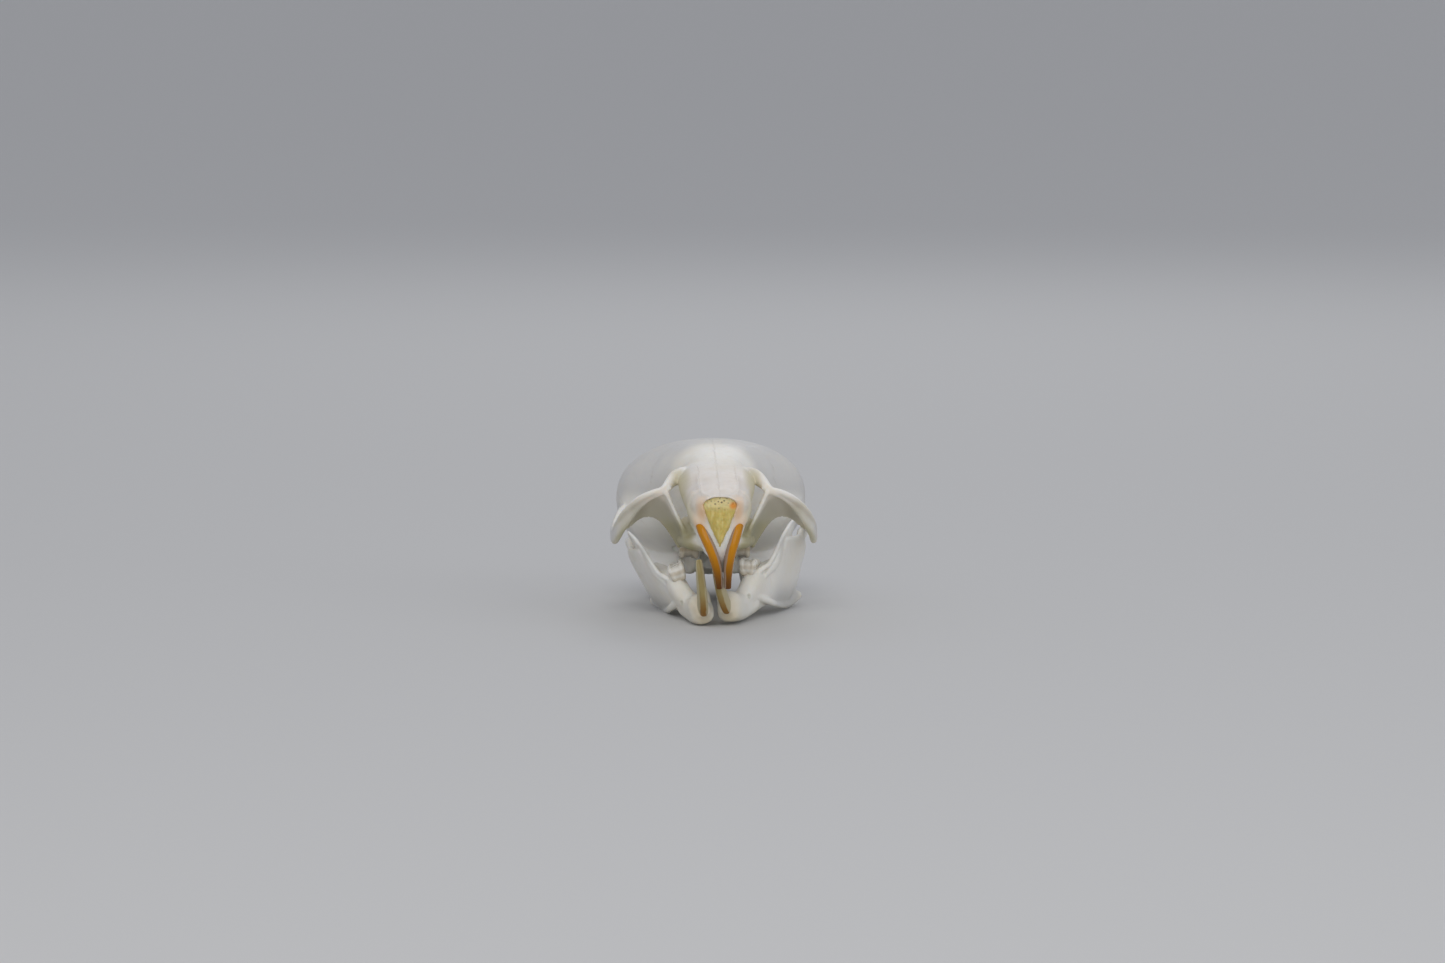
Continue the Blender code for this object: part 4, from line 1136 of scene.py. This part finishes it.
def colour_skull(skull):
    """Marks where the skull is thin or stained, and where shade and highlights are painted on."""

    def thin(x, y, z, normal):
        x = abs(x)
        behind_brow = step_up(y - 11.7 + 0.24 * x * x, -1.2, 0.6)
        # No grey where the braincase wall behind the cheek gets painted light instead.
        seen_past_cheek = step_up(-normal.y, 0.1, 0.6) * step_down(z, 2.8, 4.0)
        thicker_nape = 0.6 * step_up(y, 18.6, 21.0)
        return 0.85 * behind_brow * (1 - seen_past_cheek) * (1 - thicker_nape) * step_up(z, 0.2, 1.6)

    # A pink tint on the top of the snout, and painted shade in the gap between the upper incisors.
    def blush_and_shade(x, y, z, normal):
        nasal = 0.45 * step_down(y, 3.0, 9.5) * step_up(z, 1.4, 3.2)
        shade_between_teeth = 0.8 * bell(x, 0.0, 0.5) * bell(y, 1.9, 1.4)
        shade_between_teeth *= step_down(z, 0.25, 0.8)
        return max(nasal, shade_between_teeth)

    def glow(x, y, z, normal):
        """The orange of the tooth roots and of the nose lining through thin bone."""
        x = abs(x)
        from_hub = Vector((y - INCISOR_HUB_Y, z - INCISOR_HUB_Z)).length
        root = bell(from_hub, UPPER_INCISOR_ARC + 0.30, 0.55) * bell(x, 1.05, 0.50)
        root *= step_down(z, 1.9, 3.6)
        rim = bell(x, 0.95, 0.40) * bell(y, 0.7, 1.0) * bell(z, 2.7, 0.9)
        return max(0.62 * root, 0.75 * rim)

    # Dried olive tissue in a band on the snout's side and in the cheek socket, browner along the side of the
    # snout, and painted shade on the downward faces low under the skull.
    def tissue(x, y, z, normal):
        x = abs(x)
        band = bell(x, 1.95, 0.55) * bell(y, 5.3, 2.1) * step_up(z, 2.9, 3.7)
        shade_beneath = step_up(-normal.z, 0.0, 0.7) * bell(y, 7.5, 4.6) * step_down(z, 1.6, 2.4)
        socket = bell(y, 6.8, 2.4) * bell(z, 1.1, 1.5) * step_up(x, 0.9, 1.5) * step_down(x, 2.6, 3.3)
        flank = bell(x, 1.75, 0.55) * bell(y, 3.2, 3.2) * bell(z, 2.1, 1.7)
        return 0.70 * band + 0.6 * shade_beneath + 0.85 * socket + 0.95 * flank

    def shade(x, y, z, normal):
        x = abs(x)
        corner = bell(x, 2.9, 1.9) * bell(z, 2.2, 2.1) * step_up(y, 5.95, 6.5) * step_down(y, 8.0, 8.8)
        corner *= step_up(-normal.y - normal.z, 0.1, 0.8)
        base = step_up(-normal.z, 0.2, 0.9) * step_up(y, 8.0, 11.0) * step_down(z, 1.0, 2.0)
        foot = bell(x, 1.8, 0.9) * bell(z, 1.0, 1.2) * bell(y, 6.6, 1.6)
        bar = step_up(x, 3.5, 4.4) * bell(y, 7.4, 2.2) * step_up(-normal.y, 0.1, 0.7)
        bar *= step_down(normal.z, 0.2, 0.7)
        return 0.72 * corner + 0.60 * foot + 0.50 * bar + 0.45 * base * step_down(x, 1.4, 2.2)

    # Painted highlight on the upward faces of the arch ridges and on the forward face of the plate's front
    # edge, and painted light on the low braincase wall behind the cheek, which lies in shadow.
    def edge(x, y, z, normal):
        x = abs(x)
        ridge = step_up(x, 2.3, 2.9) * bell(y, 7.0, 3.5) * step_up(normal.z, 0.1, 0.7)
        ridge *= step_down(y, 9.5, 11.5)
        plate = bell(z, 3.0, 1.5) * bell(y, 5.85, 0.4) * step_up(-normal.y, 0.4, 0.9)
        plate *= step_up(2.9 - x, 0.0, 0.5)
        painted_light_past_cheek = step_up(y, 10.5, 11.5) * step_up(-normal.y, 0.2, 0.7) * step_down(z, 2.6, 3.8)
        return max(0.75 * ridge, 0.75 * plate, 0.90 * painted_light_past_cheek)

    stain(skull, {"thin": thin, "blush_and_shade": blush_and_shade, "glow": glow, "tissue": tissue, "shade": shade, "edge": edge})


def colour_jaw(jaw):
    """Marks the same on one half of the lower jaw."""

    def thin(x, y, z, normal):
        sheet = step_up(y, 5.2, 7.0) * step_down(y, 9.8, 10.6)
        return sheet * (0.35 + 0.60 * step_down(z, 1.0, 2.4))

    def glow(x, y, z, normal):
        """The gold of the tooth root where it comes out of the chin."""
        slot = bell(x, 0.38, 0.62) * step_down(y, 0.5, 2.2)
        return 0.42 * slot * step_down(z, 1.0, 2.0)

    def shade(x, y, z, normal):
        shade_beneath = 0.40 * step_up(-normal.z, 0.0, 0.8) * step_down(z, 0.5, 1.6)
        web = 0.22 * step_up(y, 6.0, 8.0) * step_down(z, 1.0, 2.0)
        pits = max(bell((Vector((x, y, z)) - Vector(hole)).length, 0.0, 0.22) for hole in JAW_PITS)
        return max(shade_beneath, web, 0.60 * pits, 0.20 * step_down(y, 1.2, 3.6))

    # Painted highlight on the forward-facing upper rim of the jaw.
    def edge(x, y, z, normal):
        rim = step_up(z, 2.6, 3.4) * step_up(-normal.y, 0.2, 0.7)
        return 0.8 * rim * step_down(y, 8.2, 8.8)

    stain(jaw, {"thin": thin, "glow": glow, "shade": shade, "edge": edge})


def colour_molars(row, crown, rise, row_shade):
    """Brown darkens the folds between the cusps and the neck, and a share of painted shade, given last, lies
    over the whole row.

    Crown is the height of the row's neck, and rise is 1 or -1, the way that its crowns stand.
    """

    def fold_and_shade(x, y, z, normal):
        level = (z - crown) * rise
        between_cusps = bell(level, 0.30, 0.16) * (1 - abs(normal.z))
        return row_shade + 0.5 * between_cusps + 0.5 * step_down(level, -0.05, 0.12)

    stain(row, {"fold_and_shade": fold_and_shade})


def one_bone(name, forms, cuts, grain, smoothing):
    bone = combine(forms[0], forms[1:], "UNION")
    combine(bone, cuts, "DIFFERENCE")
    bone.name = name
    return melt(bone, grain, smoothing)


def bony_skull():
    skull = one_bone("bony_skull", skull_forms(), skull_cuts(), SKULL_GRAIN, 3)
    uneven(skull, 0.018, 0.9, 3.0)
    thin_out(skull, MOST_TRIANGLES)
    colour_skull(skull)
    return skull


def jaw_half(name, side):
    jaw = one_bone("jaw_half_" + name, jaw_forms(), jaw_cuts(), JAW_GRAIN, 4)
    uneven(jaw, 0.015, 0.7, 11.0 + side)
    colour_jaw(jaw)
    return mirrored(jaw, side)


def nose_lining():
    """Dried tissue that fills the opening of the nose, a little behind its rim."""
    nose = SNOUT_HEIGHT
    stations = [
        (0.14, 0.32, nose - 0.32, 1.9, nose - 0.68),
        (0.18, 0.78, nose - 0.13, 1.05, nose - 0.60),
        (0.26, 0.91, nose - 0.07, 0.84, nose - 0.54),
        (0.45, 0.96, nose - 0.06, 0.76, nose - 0.54),
        (1.4, 1.00, nose - 0.04, 0.74, nose - 0.54),
    ]
    lining = along_head("nose_lining", stations, power=2.1, pinch=0.80, slant=0.27, steps=10, sides=72)
    with reshaping(lining) as bm:
        bmesh.ops.subdivide_edges(bm, edges=bm.edges[:], cuts=1, use_grid_fill=True)
    uneven(lining, 0.06, 0.35, 21.0)
    return lining


def build_pieces():
    skull_bone = bone_finish("skull bone", in_head_frame, True, (0.88, 0.52, 0.24))
    jaw_bone = bone_finish("jaw bone", in_millimetres, False, (0.78, 0.56, 0.22))
    upper_enamel = enamel_finish(
        "orange enamel", (0.56, 0.225, 0.005), (0.14, 0.045, 0.0005), (0.36, 0.26, 0.19), 2.1, 4.6, 0.66
    )
    lower_enamel = enamel_finish(
        "pale enamel", (0.35, 0.28, 0.12), (0.29, 0.13, 0.012), (0.47, 0.41, 0.25), 0.6, 2.2, 0.84
    )
    cheek_enamel = molar_finish()
    head = head_matrix()
    paired = [part + name for part in ("zygomatic_arch_", "auditory_bulla_") for name, _ in SIDES]
    stand_for(["braincase", "rostrum", *paired], bony_skull(), head, skull_bone)
    set_down(nose_lining(), head, tissue_finish())
    for name, side in SIDES:
        tooth = upper_incisor("gnawing_tooth_" + name, side)
        stand_for(["upper_incisor_" + name], tooth, head, upper_enamel)
        row = upper_molars("cheek_teeth_" + name, side)
        # The upper row lies in shadow and gets nearly half painted shade.
        colour_molars(row, PALATE_HEIGHT, -1, 0.45)
        stand_for(["upper_molars_" + name], row, head, cheek_enamel)
        jaw = jaw_matrix(side)
        stand_for(["mandible_" + name], jaw_half(name, side), jaw, jaw_bone)
        tooth = mirrored(lower_incisor("lower_gnawing_tooth_" + name, *JAW_TEETH[side]), side)
        stand_for(["lower_incisor_" + name], tooth, jaw, lower_enamel)
        row = lower_molars("lower_cheek_teeth_" + name)
        colour_molars(row, LOWER_MOLAR_BED.z, 1, 0.05)
        stand_for(["lower_molars_" + name], mirrored(row, side), jaw, cheek_enamel)


# Where it lies and how it is lit

def floor_under_it():
    bm = bmesh.new()
    bmesh.ops.create_grid(bm, x_segments=2, y_segments=2, size=4.0)
    floor = finished("floor", bm)
    made, tree, shader = shader_tree("plain floor")
    plug(tree, shader, {"Base Color": (0.60, 0.60, 0.595), "Roughness": 0.75})
    floor.data.materials.append(made)


def lamp(name, place, size, power, colour):
    """A round soft lamp at a place in metres, turned to the middle of the skull."""
    light = bpy.data.lights.new(name, "AREA")
    light.shape = "DISK"
    light.size = size
    light.energy = power
    light.color = colour
    obj = put_in_scene(name, light)
    obj.location = place
    obj.rotation_euler = (Vector((0.0, 0.0, 0.004)) - obj.location).to_track_quat("-Z", "Y").to_euler()


def studio():
    world = bpy.data.worlds.new("studio")
    bpy.context.scene.world = world
    world.use_nodes = True
    tree = world.node_tree
    plug(tree, tree.nodes["Background"], {"Color": (0.91, 0.93, 1.0), "Strength": 0.50})
    lamp("softbox above", (-0.03, -0.21, 0.26), 0.18, 0.20, (1.0, 0.98, 0.95))
    lamp("soft front", (0.025, -0.38, 0.05), 0.24, 0.30, (1.0, 0.99, 0.97))
    lamp("fill right", (0.24, -0.16, 0.12), 0.20, 0.085, (0.95, 0.97, 1.0))
    lamp("rim behind", (0.02, 0.22, 0.16), 0.12, 0.06, (1.0, 1.0, 1.0))


def camera():
    """The photograph's view: level with the nose, a little from above."""
    arches = [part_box("zygomatic_arch_left"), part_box("zygomatic_arch_right")]
    middle_x = (arches[1][0].x + arches[0][1].x) / 2
    aim = Vector((middle_x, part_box("rostrum")[0].y, 0.0)) + Vector((0.51, 8.0, 7.45)) * MM
    back = Vector((0, -cos(CAMERA_ELEVATION), sin(CAMERA_ELEVATION)))
    lens = bpy.data.cameras.new("camera")
    lens.sensor_width = SENSOR_WIDTH
    lens.lens = SENSOR_WIDTH * CAMERA_DISTANCE * PHOTO_SCALE / PHOTO_WIDTH
    lens.clip_start = 0.01
    lens.clip_end = 10
    obj = put_in_scene("camera", lens)
    obj.location = aim + back * CAMERA_DISTANCE * MM
    obj.rotation_euler = (-back).to_track_quat("-Z", "Y").to_euler()
    bpy.context.scene.camera = obj


build_pieces()
floor_under_it()
studio()
camera()
bpy.context.scene.view_settings.view_transform = "Standard"
